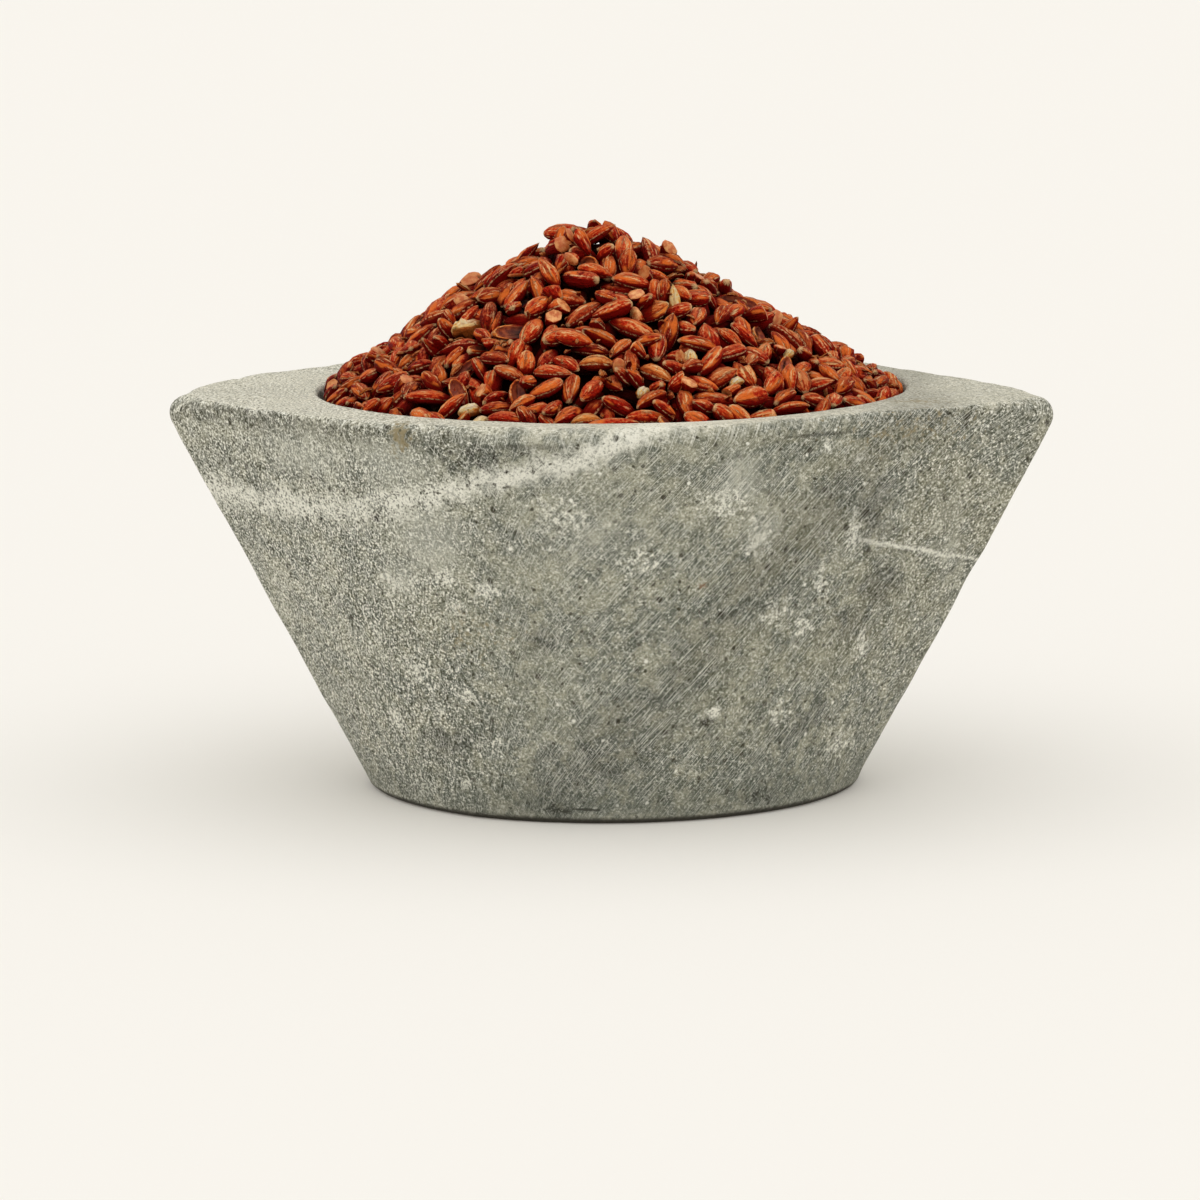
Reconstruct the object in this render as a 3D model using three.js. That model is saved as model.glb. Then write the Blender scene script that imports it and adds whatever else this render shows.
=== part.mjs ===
// A small bowl carved by hand from one block of grey-green soapstone, heaped with dry red rice.
// Millimetres, +Z up, +X to the right lug, +Y to the back. The origin is the centre of the flat foot.

import * as THREE from 'three';

const { lerp } = THREE.MathUtils;

// The stone's outside
const RIM_HEIGHT = 59.5; // from the ground to the flat rim
const FOOT_RADIUS = 36.4; // where the straight wall would meet the ground
const FOOT_EDGE = 1.6; // rounding between wall and foot
const CRISP_EDGE = 0.6; // rounding of the rim's outer edge where nothing has worn it
const WORN_EDGE = 2.6; // the same edge in front and at the points of the lugs
const FRONT_WEAR = 5; // how quickly the wear in front fades towards the lugs, as a power
const LUG_WEAR = 0.1; // and how far it reaches around a lug's point, in radians

// The rim from above: five corners, the two lugs nearly sharp and the others drawn round
const RIM_CORNERS = [
  { x: -67.5, y: -5.1, round: 1.6, isLug: true }, // left lug
  { x: -13.0, y: -65.6, round: 49.5, isLug: false }, // front
  { x: 66.9, y: -18.8, round: 1.7, isLug: true }, // right lug
  { x: 25.6, y: 53.7, round: 35, isLug: false }, // back, right of the middle
  { x: -40.3, y: 53.7, round: 70, isLug: false }, // back, left of the middle
];

// The round hollow
const HOLLOW_RADIUS = 43.75; // at the rim
const HOLLOW_DEPTH = 46; // from the rim to the lowest point
const HOLLOW_EDGE = 0.8; // rounding of its lip, which is also how far below the rim the rice begins
const HOLLOW_FULLNESS = 2.6; // 2 is half an ellipse, more is a steeper wall and a flatter floor

// The rice
const RICE_GAP = 0.3; // between rice and stone
const HEAP_HEIGHT = 25.6; // from the hollow's lip to the top of the heap
const HEAP_TOP_X = -3; // the top is poured a little left of the middle
const HEAP_CROWN = 1.2; // 1 is a straight cone, more is a rounder top
const HEAP_SWELLS = [
  { x: -40, y: 0, height: 1.8, spread: 4.5 }, // left foot of the slope
  { x: -26, y: 1, height: 1.5, spread: 6 }, // ledge half way up the left slope
  { x: -6, y: 0, height: 1.1, spread: 5 }, // shoulder beside the top
  { x: 26, y: 1, height: -1.1, spread: 7 }, // dip in the right slope
];
const LUMP_HEIGHT = 0.45; // unevenness of the heap's surface
const LUMP_LENGTHS = [7, 11]; // and the distances over which it rises and falls
const LIP_FADE = 10; // how close to the lip it all dies away, as a power

// How finely the solids are divided
const COLUMN_SPACING = 4.2; // along the rim
const HEAP_COLUMNS = 64;
const EDGE_STEPS = 3;
const WALL_STEPS = 6;
const HOLLOW_STEPS = 8;
const SLOPE_STEPS = 14;

const RIM_CENTRE = new THREE.Vector3(0, 0, RIM_HEIGHT);

/** The values of make(t) for t from 0 to 1 in even steps, both ends included. */
function steps(count, make) {
  return Array.from({ length: count + 1 }, (_, i) => make(i / count));
}

/** A point at a distance from the bowl's axis, in the direction of a unit vector, at a height. */
function at(direction, radius, z) {
  return new THREE.Vector3(direction.x * radius, direction.y * radius, z);
}

/** Points along the rim's outline from above, anticlockwise, about COLUMN_SPACING apart. */
function rimOutline() {
  const rounds = RIM_CORNERS.map(({ x, y, round }, i) => {
    const corner = new THREE.Vector2(x, y);
    const [before, after] = [RIM_CORNERS.at(i - 1), RIM_CORNERS[(i + 1) % RIM_CORNERS.length]].map(
      (next) => new THREE.Vector2(next.x, next.y).sub(corner).normalize(),
    );
    const halfAngle = Math.acos(before.dot(after)) / 2;
    const middle = before.clone().add(after).normalize();
    const centre = corner.clone().addScaledVector(middle, round / Math.sin(halfAngle));
    const reach = round / Math.tan(halfAngle);
    const start = corner.clone().addScaledVector(before, reach);
    const end = corner.clone().addScaledVector(after, reach);
    const [from, to] = [start, end].map((point) => point.clone().sub(centre).angle());
    return { start, end, arc: new THREE.EllipseCurve(centre.x, centre.y, round, round, from, to) };
  });
  const curves = rounds.flatMap(({ arc, end }, i) => {
    const next = rounds[(i + 1) % rounds.length];
    return [arc, new THREE.LineCurve(end, next.start)];
  });
  return curves.flatMap((curve) => {
    const count = Math.max(2, Math.round(curve.getLength() / COLUMN_SPACING));
    return curve.getPoints(count).slice(0, -1);
  });
}

/** A point of the hollow's wall, from its lip at turn 0 to its floor at turn 1, moved inwards by a gap.
 *  Heights are counted from the rim. */
function hollowPoint(direction, turn, gap) {
  const power = 2 / HOLLOW_FULLNESS;
  const across = Math.cos((turn * Math.PI) / 2) ** power;
  const down = Math.sin((turn * Math.PI) / 2) ** power;
  const radius = turn < 1 ? (HOLLOW_RADIUS - gap) * across : 0;
  return at(direction, radius, -HOLLOW_EDGE - (HOLLOW_DEPTH - HOLLOW_EDGE - gap) * down);
}

/** How much the rim's outer edge is rounded in one direction. */
function rimEdge(direction) {
  const lugs = RIM_CORNERS.filter(({ isLug }) => isLug).map((lug) => {
    const away = new THREE.Vector2(lug.x, lug.y).angleTo(direction);
    return Math.exp(-((away / LUG_WEAR) ** 2));
  });
  const front = Math.max(0, -direction.y) ** FRONT_WEAR;
  return lerp(CRISP_EDGE, WORN_EDGE, Math.max(front, ...lugs));
}

/** The bowl's section below one point of the rim's outline, from the foot's centre round to the floor's. */
function bowlProfile(rimPoint) {
  const direction = rimPoint.clone().normalize();
  const lean = Math.atan((rimPoint.length() - FOOT_RADIUS) / RIM_HEIGHT);
  const wall = (z) => FOOT_RADIUS + z * Math.tan(lean);
  // An edge's rounding about a centre at one height, as its outward direction turns from one tilt to another
  const rounding = (radius, centre, from, to) => steps(EDGE_STEPS, (t) => {
    const tilt = lerp(from, to, t);
    const inside = wall(centre) - radius / Math.cos(lean);
    return at(direction, inside + radius * Math.cos(tilt), centre + radius * Math.sin(tilt));
  });

  const edge = rimEdge(direction);
  const foot = rounding(FOOT_EDGE, FOOT_EDGE, -Math.PI / 2, -lean);
  const rim = rounding(edge, RIM_HEIGHT - edge, -lean, Math.PI / 2);
  const outside = steps(WALL_STEPS, (t) => foot.at(-1).clone().lerp(rim[0], t));
  const lip = steps(EDGE_STEPS, (t) => {
    const turn = (t * Math.PI) / 2;
    const radius = HOLLOW_RADIUS + HOLLOW_EDGE * (1 - Math.sin(turn));
    return at(direction, radius, RIM_HEIGHT - HOLLOW_EDGE * (1 - Math.cos(turn)));
  });
  const hollow = steps(HOLLOW_STEPS, (t) => hollowPoint(direction, t, 0).add(RIM_CENTRE));
  return [at(direction, 0, 0), ...foot, ...outside.slice(1, -1), ...rim, ...lip, ...hollow.slice(1)];
}

/** How high the heap's surface stands above the hollow's lip at one place. */
function heapSurface(x, y) {
  const out = Math.min(1, Math.hypot(x, y) / (HOLLOW_RADIUS - RICE_GAP));
  const fromTop = Math.hypot(x - HEAP_TOP_X * (1 - out), y) / (HOLLOW_RADIUS - RICE_GAP);
  const slope = HEAP_HEIGHT * (1 - Math.min(1, fromTop) ** HEAP_CROWN);
  const swells = HEAP_SWELLS.map((swell) => {
    const away = Math.hypot(x - swell.x, y - swell.y) / swell.spread;
    return swell.height * Math.exp(-(away ** 2));
  });
  const lumps = LUMP_LENGTHS.map((length, i) => {
    const wave = (2 * Math.PI) / length;
    return LUMP_HEIGHT * Math.sin(wave * x + i) * Math.cos(wave * y - i);
  });
  const uneven = [...swells, ...lumps].reduce((sum, value) => sum + value, 0);
  return slope + uneven * (1 - out ** LIP_FADE);
}

/** The rice's section in one direction, from the hollow's floor out to its lip and up to the middle. */
function heapProfile(direction) {
  const under = steps(HOLLOW_STEPS, (t) => hollowPoint(direction, 1 - t, RICE_GAP));
  const slope = steps(SLOPE_STEPS, (t) => {
    const place = at(direction, (HOLLOW_RADIUS - RICE_GAP) * (1 - t), 0);
    return place.setZ(heapSurface(place.x, place.y) - HOLLOW_EDGE);
  });
  return [...under, ...slope.slice(1)];
}

/** A closed skin through one section for each column, like a turned piece that isn't quite round. */
function turned(profiles) {
  const rows = profiles[0].length;
  const blank = profiles[0].map(({ x, y, z }) => new THREE.Vector2(Math.hypot(x, y), z));
  const geometry = new THREE.LatheGeometry(blank, profiles.length);
  const position = geometry.getAttribute('position');
  [...profiles, profiles[0]].forEach((profile, column) => {
    profile.forEach(({ x, y, z }, row) => position.setXYZ(column * rows + row, x, y, z));
  });
  geometry.computeVertexNormals();
  return geometry;
}

/** One named sub-part. */
function part(name, geometry, color, roughness) {
  const mesh = new THREE.Mesh(geometry, new THREE.MeshStandardMaterial({ color, roughness, metalness: 0 }));
  mesh.name = name;
  return mesh;
}

const bowl = part('stone_bowl', turned(rimOutline().map(bowlProfile)), 0x8f938a, 0.85);

const directions = steps(HEAP_COLUMNS, (t) => {
  return new THREE.Vector2(Math.cos(2 * Math.PI * t), Math.sin(2 * Math.PI * t));
}).slice(0, -1);
const rice = part('rice_heap', turned(directions.map(heapProfile)), 0x7c321c, 0.5);
rice.position.copy(RIM_CENTRE);

const bowlOfRice = new THREE.Group();
bowlOfRice.add(bowl, rice);

export default bowlOfRice;
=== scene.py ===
"""A small bowl carved by hand from grey-green soapstone, heaped with dry red rice.

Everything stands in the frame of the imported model: metres, +Z up, +X to the right lug, +Y to the back,
with the origin at the centre of the flat foot. Sizes in this file are millimetres unless they say
otherwise, and each mesh is turned into metres once, as it becomes an object.
"""

import logging
import math
from collections.abc import Callable, Sequence
from dataclasses import dataclass, field, replace
from enum import Enum

import bmesh
import bpy
import numpy as np
from mathutils import Euler, Matrix, Vector, noise

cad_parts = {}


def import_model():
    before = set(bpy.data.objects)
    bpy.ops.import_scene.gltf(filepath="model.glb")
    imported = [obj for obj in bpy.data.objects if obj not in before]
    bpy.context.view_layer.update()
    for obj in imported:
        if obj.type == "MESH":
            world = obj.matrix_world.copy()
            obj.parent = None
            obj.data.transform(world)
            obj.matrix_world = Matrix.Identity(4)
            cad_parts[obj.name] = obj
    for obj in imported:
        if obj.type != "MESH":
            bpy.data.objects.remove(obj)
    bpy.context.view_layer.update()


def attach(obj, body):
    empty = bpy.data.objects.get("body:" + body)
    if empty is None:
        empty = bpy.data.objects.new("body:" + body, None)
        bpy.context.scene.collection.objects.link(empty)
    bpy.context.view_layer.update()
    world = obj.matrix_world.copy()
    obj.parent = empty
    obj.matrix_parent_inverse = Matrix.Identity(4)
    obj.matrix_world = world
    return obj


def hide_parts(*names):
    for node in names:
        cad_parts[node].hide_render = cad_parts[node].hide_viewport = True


log = logging.getLogger("bowl_of_red_rice")

MM = 0.001  # metres in a millimetre
UNROLLED = 100.0  # millimetres in one unit of the stone's unrolled map

Output = bpy.types.NodeSocket
Wire = Output | float | tuple[float, ...]
Inputs = dict[str | int, Wire]
Colour = tuple[float, float, float]
Point = tuple[float, float, float]
Sizes = np.ndarray | float

# The near black of the painted shade deep among the grains, also used for dark specks
BETWEEN_GRAINS: Colour = (0.015, 0.002, 0.001)


# ---------------------------------------------------------------- shared shader effects


class Bench:
    """A node tree being wired up. Each method adds to it and gives back the socket that it puts out."""

    def __init__(self, tree: bpy.types.NodeTree) -> None:
        """Starts work on a material's or a group's node tree."""
        self.tree = tree

    def plug(self, socket: Output, value: Wire) -> None:
        """Links a socket to another, or sets it to a plain value. A plain colour gets its alpha here."""
        if isinstance(value, Output):
            self.tree.links.new(value, socket)
        else:
            socket.default_value = (*value, 1.0) if socket.type == "RGBA" else value

    def fill(self, node: bpy.types.Node, inputs: Inputs) -> None:
        """Plugs several of a node's sockets, by name or number."""
        for key, value in inputs.items():
            self.plug(node.inputs[key], value)

    def node(self, kind: str, inputs: Inputs | None = None, **settings: object) -> bpy.types.Node:
        """Adds a node.

        Args:
            kind: its Blender type.
            inputs: what goes into its sockets, by name or number.
            settings: its other properties.

        Returns:
            The new node.
        """
        made = self.tree.nodes.new(kind)
        for name, value in settings.items():
            setattr(made, name, value)
        self.fill(made, inputs or {})
        return made

    def math(self, operation: str, *values: Wire) -> Output:
        """One sum on numbers."""
        return self.node("ShaderNodeMath", dict(enumerate(values)), operation=operation).outputs[0]

    def times(self, product: Wire, *factors: Wire) -> Output:
        """Two or more numbers multiplied."""
        for factor in factors:
            product = self.math("MULTIPLY", product, factor)
        return product

    def plus(self, first: Wire, second: Wire) -> Output:
        """Two numbers added."""
        return self.math("ADD", first, second)

    def times_plus(self, value: Wire, factor: Wire, more: Wire) -> Output:
        """A number times a factor, and some more."""
        return self.math("MULTIPLY_ADD", value, factor, more)

    def centred(self, tone: Wire) -> Output:
        """A noise moved to lie around 0."""
        return self.math("SUBTRACT", tone, 0.5)

    def most(self, first: Wire, second: Wire) -> Output:
        """The greater of two numbers."""
        return self.math("MAXIMUM", first, second)

    def vector(self, operation: str, *values: Wire) -> Output:
        """One sum on vectors whose answer is a vector."""
        return self.node("ShaderNodeVectorMath", dict(enumerate(values)), operation=operation).outputs[0]

    def number(self, operation: str, *values: Wire) -> Output:
        """One sum on vectors whose answer is a number, such as a dot product or a length."""
        return self.node("ShaderNodeVectorMath", dict(enumerate(values)), operation=operation).outputs[1]

    def scaled(self, vector: Wire, factor: Wire) -> Output:
        """A vector times a number."""
        return self.node("ShaderNodeVectorMath", {0: vector, "Scale": factor}, operation="SCALE").outputs[0]

    def split(self, vector: Wire) -> tuple[Output, ...]:
        """A vector's three parts."""
        return tuple(self.node("ShaderNodeSeparateXYZ", {0: vector}).outputs)

    def combined(self, x: Wire, y: Wire, z: Wire) -> Output:
        """A vector made of three numbers."""
        return self.node("ShaderNodeCombineXYZ", {0: x, 1: y, 2: z}).outputs[0]

    def ranged(self, value: Wire, low: Wire, high: Wire, to_low: Wire = 0.0, to_high: Wire = 1.0) -> Output:
        """A number moved smoothly from one range to another, and held within it.

        Args:
            value: the number.
            low: where the range begins. It may lie above high, which turns the range round.
            high: where it ends.
            to_low: what low becomes.
            to_high: what high becomes.

        Returns:
            The moved number.
        """
        inputs = {0: value, 1: low, 2: high, 3: to_low, 4: to_high}
        return self.node("ShaderNodeMapRange", inputs, interpolation_type="SMOOTHSTEP").outputs[0]

    def coated(self, colour: Wire, *coats: tuple[Wire, Wire]) -> Output:
        """A colour with others mixed over it, one after the other.

        Args:
            colour: the colour at the bottom.
            coats: the mask and the colour of each coat.

        Returns:
            The colour on top.
        """
        for mask, coat in coats:
            colour = self.node("ShaderNodeMix", {0: mask, 6: colour, 7: coat}, data_type="RGBA").outputs[2]
        return colour

    def ramped(self, value: Wire, stops: Sequence[tuple[float, Colour]]) -> Output:
        """A colour looked up along a ramp.

        Args:
            value: where to look, from 0 to 1.
            stops: the place and colour of each stop.

        Returns:
            The colour.
        """
        made = self.node("ShaderNodeValToRGB", {0: value})
        ramp = made.color_ramp
        while len(ramp.elements) < len(stops):
            ramp.elements.new(1.0)
        for element, (place, colour) in zip(ramp.elements, stops):
            element.position = place
            element.color = (*colour, 1.0)
        return made.outputs[0]

    def noise(self, place: Wire, size: Wire, detail: float = 2.0, roughness: float = 0.5) -> Output:
        """Soft noise, mostly between 0.3 and 0.7.

        Args:
            place: where it is looked up.
            size: how far apart its crests are.
            detail: how many finer noises are added to it.
            roughness: how strong those are.

        Returns:
            The noise.
        """
        scale = self.math("DIVIDE", 1.0, size)
        inputs = {"Vector": place, "Scale": scale, "Detail": detail, "Roughness": roughness}
        return self.node("ShaderNodeTexNoise", inputs).outputs[0]

    def bumped(self, height: Wire, strength: float, depth: float) -> Output:
        """The normal of a surface with a fine relief, whose depth is in millimetres."""
        inputs = {"Strength": strength, "Distance": depth * MM, "Height": height}
        return self.node("ShaderNodeBump", inputs).outputs[0]

    def place(self) -> Output:
        """The point's place in the object, in millimetres."""
        return self.scaled(self.node("ShaderNodeTexCoord").outputs["Object"], 1 / MM)

    def mapped(self, name: str) -> Output:
        """The point's place in one of the mesh's UV maps."""
        return self.node("ShaderNodeUVMap", uv_map=name).outputs[0]

    def attribute(self, name: str, output: str = "Fac") -> Output:
        """A value that the mesh carries."""
        return self.node("ShaderNodeAttribute", attribute_name=name).outputs[output]


class Socket(Enum):
    """The kinds of socket that the effects have."""

    NUMBER = "NodeSocketFloat"
    VECTOR = "NodeSocketVector"


class Effect:
    """A node group that several materials share. It is made once and placed with its own values each time."""

    name = "effect"
    inputs: dict[str, Socket] = {}

    def __init__(self) -> None:
        """Makes the group, with one output called Mask."""
        self.tree = bpy.data.node_groups.new(self.name, "ShaderNodeTree")
        for label, kind in self.inputs.items():
            self.tree.interface.new_socket(name=label, in_out="INPUT", socket_type=kind.value)
        self.tree.interface.new_socket(name="Mask", in_out="OUTPUT", socket_type=Socket.NUMBER.value)
        bench = Bench(self.tree)
        given = bench.node("NodeGroupInput").outputs
        bench.node("NodeGroupOutput", {0: self.wire(bench, *(given[label] for label in self.inputs))})

    def wire(self, bench: Bench, *given: Output) -> Output:
        """Wires the inside.

        Args:
            bench: the group's tree.
            given: the group's inputs, in order.

        Returns:
            The mask.
        """
        raise NotImplementedError

    def on(self, bench: Bench, *values: Wire) -> Output:
        """Places the effect in a tree.

        Args:
            bench: the tree.
            values: what goes into its inputs, in order.

        Returns:
            The mask.
        """
        placed = bench.node("ShaderNodeGroup", node_tree=self.tree)
        for socket, value in zip(placed.inputs, values):
            bench.plug(socket, value)
        return placed.outputs[0]


class Clouds(Effect):
    """Soft patches: 0 in the hollows of a noise and 1 in its crests."""

    name = "clouds"
    inputs = {
        "Place": Socket.VECTOR, "Size": Socket.NUMBER, "Softness": Socket.NUMBER, "Level": Socket.NUMBER,
    }

    def wire(self, bench: Bench, place: Output, size: Output, softness: Output, level: Output) -> Output:
        """Cuts a noise at a level, softly."""
        tone = bench.noise(place, size, detail=3.0, roughness=0.6)
        return bench.ranged(tone, bench.math("SUBTRACT", level, softness), bench.plus(level, softness))


class Specks(Effect):
    """Small uneven spots, of which only a share of the possible ones show."""

    name = "specks"
    inputs = {"Place": Socket.VECTOR, "Spacing": Socket.NUMBER, "Size": Socket.NUMBER, "Share": Socket.NUMBER}

    def wire(self, bench: Bench, place: Output, spacing: Output, size: Output, share: Output) -> Output:
        """Draws one spot in each cell of a Voronoi pattern, and hides most of them by the cell's colour."""
        jitter = bench.noise(place, bench.times(spacing, 0.4), detail=1.0)
        scale = bench.math("DIVIDE", 1.0, spacing)
        cells = bench.node("ShaderNodeTexVoronoi", {"Vector": place, "Scale": scale}).outputs
        ragged = bench.times(cells["Distance"], spacing, bench.ranged(jitter, 0.3, 0.7, 0.6, 1.5))
        chance = bench.node("ShaderNodeSeparateColor", {0: cells["Color"]}).outputs[0]
        spot = bench.ranged(ragged, size, bench.times(size, 0.45))
        return bench.times(spot, bench.math("LESS_THAN", chance, share))


class Sheet(Effect):
    """A thin sheet of other rock that runs right through the stone, and shows wherever it is cut."""

    name = "sheet"
    inputs = {
        "Place": Socket.VECTOR, "Point": Socket.VECTOR, "Across": Socket.VECTOR,
        "Thickness": Socket.NUMBER, "Wander": Socket.NUMBER, "Size": Socket.NUMBER,
    }

    def wire(
        self, bench: Bench, place: Output, point: Output, across: Output, thickness: Output, wander: Output,
        size: Output,
    ) -> Output:
        """Measures the distance from a plane that a noise pushes to and fro."""
        offset = bench.vector("SUBTRACT", place, point)
        away = bench.number("DOT_PRODUCT", offset, bench.vector("NORMALIZE", across))
        sway = bench.centred(bench.noise(place, size, detail=2.0))
        fray = bench.centred(bench.noise(place, 1.1, detail=1.0))
        moved = bench.plus(away, bench.times(sway, wander))
        frayed = bench.plus(moved, bench.times(fray, thickness))
        return bench.ranged(bench.math("ABSOLUTE", frayed), thickness, 0.0)


class Spot(Effect):
    """One patch at a place, with a ragged edge: a stain, a scuff or a chip."""

    name = "spot"
    inputs = {
        "Place": Socket.VECTOR, "Centre": Socket.VECTOR, "Reach": Socket.VECTOR, "Unevenness": Socket.NUMBER,
        "Ragged": Socket.NUMBER,
    }

    def wire(
        self, bench: Bench, place: Output, centre: Output, reach: Output, unevenness: Output, ragged: Output
    ) -> Output:
        """Measures how far out in an ellipsoid the place is, with an unevenness around 0.5 added."""
        offset = bench.vector("SUBTRACT", place, centre)
        out = bench.number("LENGTH", bench.vector("DIVIDE", offset, reach))
        return bench.ranged(bench.plus(out, bench.times(bench.centred(unevenness), ragged)), 1.1, 0.4)


class Strokes(Effect):
    """Fine parallel scratches on a surface that has been unrolled flat."""

    name = "strokes"
    inputs = {
        "Place": Socket.VECTOR, "Turn": Socket.NUMBER, "Length": Socket.NUMBER,
        "Width": Socket.NUMBER, "Level": Socket.NUMBER,
    }

    def wire(
        self, bench: Bench, place: Output, turn: Output, length: Output, width: Output, level: Output
    ) -> Output:
        """Turns the place and stretches a noise along the strokes."""
        inputs = {"Vector": place, "Angle": turn}
        turned = bench.node("ShaderNodeVectorRotate", inputs, rotation_type="Z_AXIS").outputs[0]
        stretched = bench.vector("DIVIDE", turned, bench.combined(length, width, 1.0))
        tone = bench.noise(stretched, 1.0, detail=2.0, roughness=0.6)
        return bench.ranged(tone, level, bench.plus(level, 0.09))


class Gloom(Effect):
    """Painted shade that grows with how deep a place lies among the rice."""

    name = "gloom"
    inputs = {"Sunk": Socket.NUMBER}

    def wire(self, bench: Bench, sunk: Output) -> Output:
        """Paints shade over what lies 0.8 mm and more below the rice around it."""
        return bench.ranged(sunk, 0.8, 2.2, 0.0, 0.93)


@dataclass
class Effects:
    """The effects, each made once for all materials."""

    clouds: Clouds = field(default_factory=Clouds)
    specks: Specks = field(default_factory=Specks)
    sheet: Sheet = field(default_factory=Sheet)
    spot: Spot = field(default_factory=Spot)
    strokes: Strokes = field(default_factory=Strokes)
    gloom: Gloom = field(default_factory=Gloom)


class Finish:
    """What a surface is finished with. Each kind says what goes into its shader."""

    name: str

    def material(self, effects: Effects) -> bpy.types.Material:
        """Builds the finish.

        Args:
            effects: the shared effects.

        Returns:
            The material.
        """
        material = bpy.data.materials.new(self.name)
        material.use_nodes = True
        bench = Bench(material.node_tree)
        bench.fill(material.node_tree.nodes["Principled BSDF"], self.inputs(bench, effects))
        return material

    def inputs(self, bench: Bench, effects: Effects) -> Inputs:
        """Wires the finish.

        Args:
            bench: the material's tree.
            effects: the shared effects.

        Returns:
            What goes into the shader's sockets, by name.
        """
        raise NotImplementedError


# ---------------------------------------------------------------- meshes


def unevenness(points: np.ndarray, size: float, seed: float) -> np.ndarray:
    """Smooth noise between about -1 and 1.

    Args:
        points: places, as (..., 3).
        size: how far apart its crests are.
        seed: which of many noises it is.

    Returns:
        One value for each place.
    """
    flat = points.reshape(-1, 3) / size + seed
    return np.array([noise.noise(place) for place in flat.tolist()]).reshape(points.shape[:-1])


def finished(mesh: bpy.types.Mesh, name: str, node: str | None) -> bpy.types.Object:
    """Makes a mesh in millimetres a piece of the object.

    Args:
        mesh: the mesh.
        name: the piece's name.
        node: the solid that it stands for, if it stands for one.

    Returns:
        The piece.
    """
    mesh.transform(Matrix.Scale(MM, 4))
    mesh.shade_smooth()
    piece = bpy.data.objects.new(name, mesh)
    bpy.context.scene.collection.objects.link(piece)
    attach(piece, "root")
    if node:
        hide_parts(node)
    return piece


def rolled_skin(points: np.ndarray, name: str, carried: dict[str, np.ndarray]) -> bpy.types.Mesh:
    """Rolls a flat grid up into a closed skin whose first and last rows are single points.

    Args:
        points: the place of each grid point, as (columns, rows, 3), anticlockwise and from below upwards.
        name: the mesh's name.
        carried: values that the mesh carries as attributes, each as (columns, rows).

    Returns:
        The mesh, with a UV map called "unrolled" that gives each point's place along the surface.
    """
    columns, rows = points.shape[:2]
    bm = bmesh.new()
    bmesh.ops.create_grid(bm, x_segments=columns, y_segments=rows - 1, size=1.0)
    layers = {label: bm.verts.layers.float.new(label) for label in carried}
    unrolled = bm.loops.layers.uv.new("unrolled")
    around = np.linalg.norm(np.roll(points, -1, axis=0) - points, axis=2).max(axis=1).cumsum()
    around = np.insert(around, 0, 0.0)
    along = np.linalg.norm(np.diff(points, axis=1), axis=2).mean(axis=0).cumsum()
    along = np.insert(along, 0, 0.0)
    for face in bm.faces:
        for loop in face.loops:
            column = round((loop.vert.co.x + 1) / 2 * columns)
            row = round((loop.vert.co.y + 1) / 2 * (rows - 1))
            loop[unrolled].uv = (around[column] / UNROLLED, along[row] / UNROLLED)
    for vert in bm.verts:
        column = round((vert.co.x + 1) / 2 * columns) % columns
        row = round((vert.co.y + 1) / 2 * (rows - 1))
        vert.co = points[column, row]
        for label, values in carried.items():
            vert[layers[label]] = values[column, row]
    bmesh.ops.remove_doubles(bm, verts=bm.verts, dist=1e-4)
    bmesh.ops.recalc_face_normals(bm, faces=bm.faces)
    mesh = bpy.data.meshes.new(name)
    bm.to_mesh(mesh)
    bm.free()
    return mesh


def skin_normals(points: np.ndarray) -> np.ndarray:
    """The outward direction at each point of a rolled grid, as (columns, rows, 3)."""
    round_it = np.roll(points, -1, axis=0) - np.roll(points, 1, axis=0)
    up_it = np.gradient(points, axis=1)
    normals = np.cross(round_it, up_it)
    lengths = np.linalg.norm(normals, axis=2, keepdims=True)
    return normals / np.maximum(lengths, 1e-9)


# ---------------------------------------------------------------- the stone bowl


@dataclass(frozen=True)
class RimCorner:
    """A corner of the rim's outline from above, before it is rounded."""

    x: float
    y: float
    round: float
    is_lug: bool = False


@dataclass(frozen=True)
class Nick:
    """A place where the stone has lost a little, as a shallow round dent."""

    place: Point
    radius: float
    depth: float


@dataclass(frozen=True)
class Mark:
    """One patch on the stone at a known place, such as a stain, a scuff, a pitted spot, a paler spot or a
    patch of painted shade.
    """

    centre: Point
    reach: Point
    strength: float

    def mask(self, points: np.ndarray) -> np.ndarray:
        """How much of the mark each place shows, which falls below 0 outside it."""
        out = np.linalg.norm((points - np.array(self.centre)) / np.array(self.reach), axis=-1)
        return np.clip(1.6 * self.strength * (1 - out), -1.5, 1.5)


def mark_rows(*rows: tuple[float, ...]) -> tuple[Mark, ...]:
    """Makes marks from rows of seven numbers: the centre, the reach each way and the strength."""
    return tuple(Mark(row[:3], row[3:6], row[6]) for row in rows)


@dataclass(frozen=True)
class Scratches:
    """One layer of sanding scratches, over the part of the wall between two values of x."""

    turn: float  # degrees from level, rising to the right
    length: float
    width: float
    level: float
    strength: float
    left: float = -90.0
    right: float = 90.0


@dataclass(frozen=True)
class Ground:
    """What all the layers of the stone's finish are drawn from."""

    bench: Bench
    effects: Effects
    place: Wire
    x: Wire
    z: Wire
    top: Wire  # 1 on the rim's flat top
    blotch: Wire  # three noises, from coarse to fine
    rough: Wire
    grain: Wire

    def marks(self, label: str) -> Output:
        """The mask of the marks that the mesh carries under a label, with ragged edges."""
        ragged = self.bench.times(self.bench.centred(self.rough), 3.4)
        return self.bench.ranged(self.bench.plus(self.bench.attribute(label), ragged), 0.05, 0.9)


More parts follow.
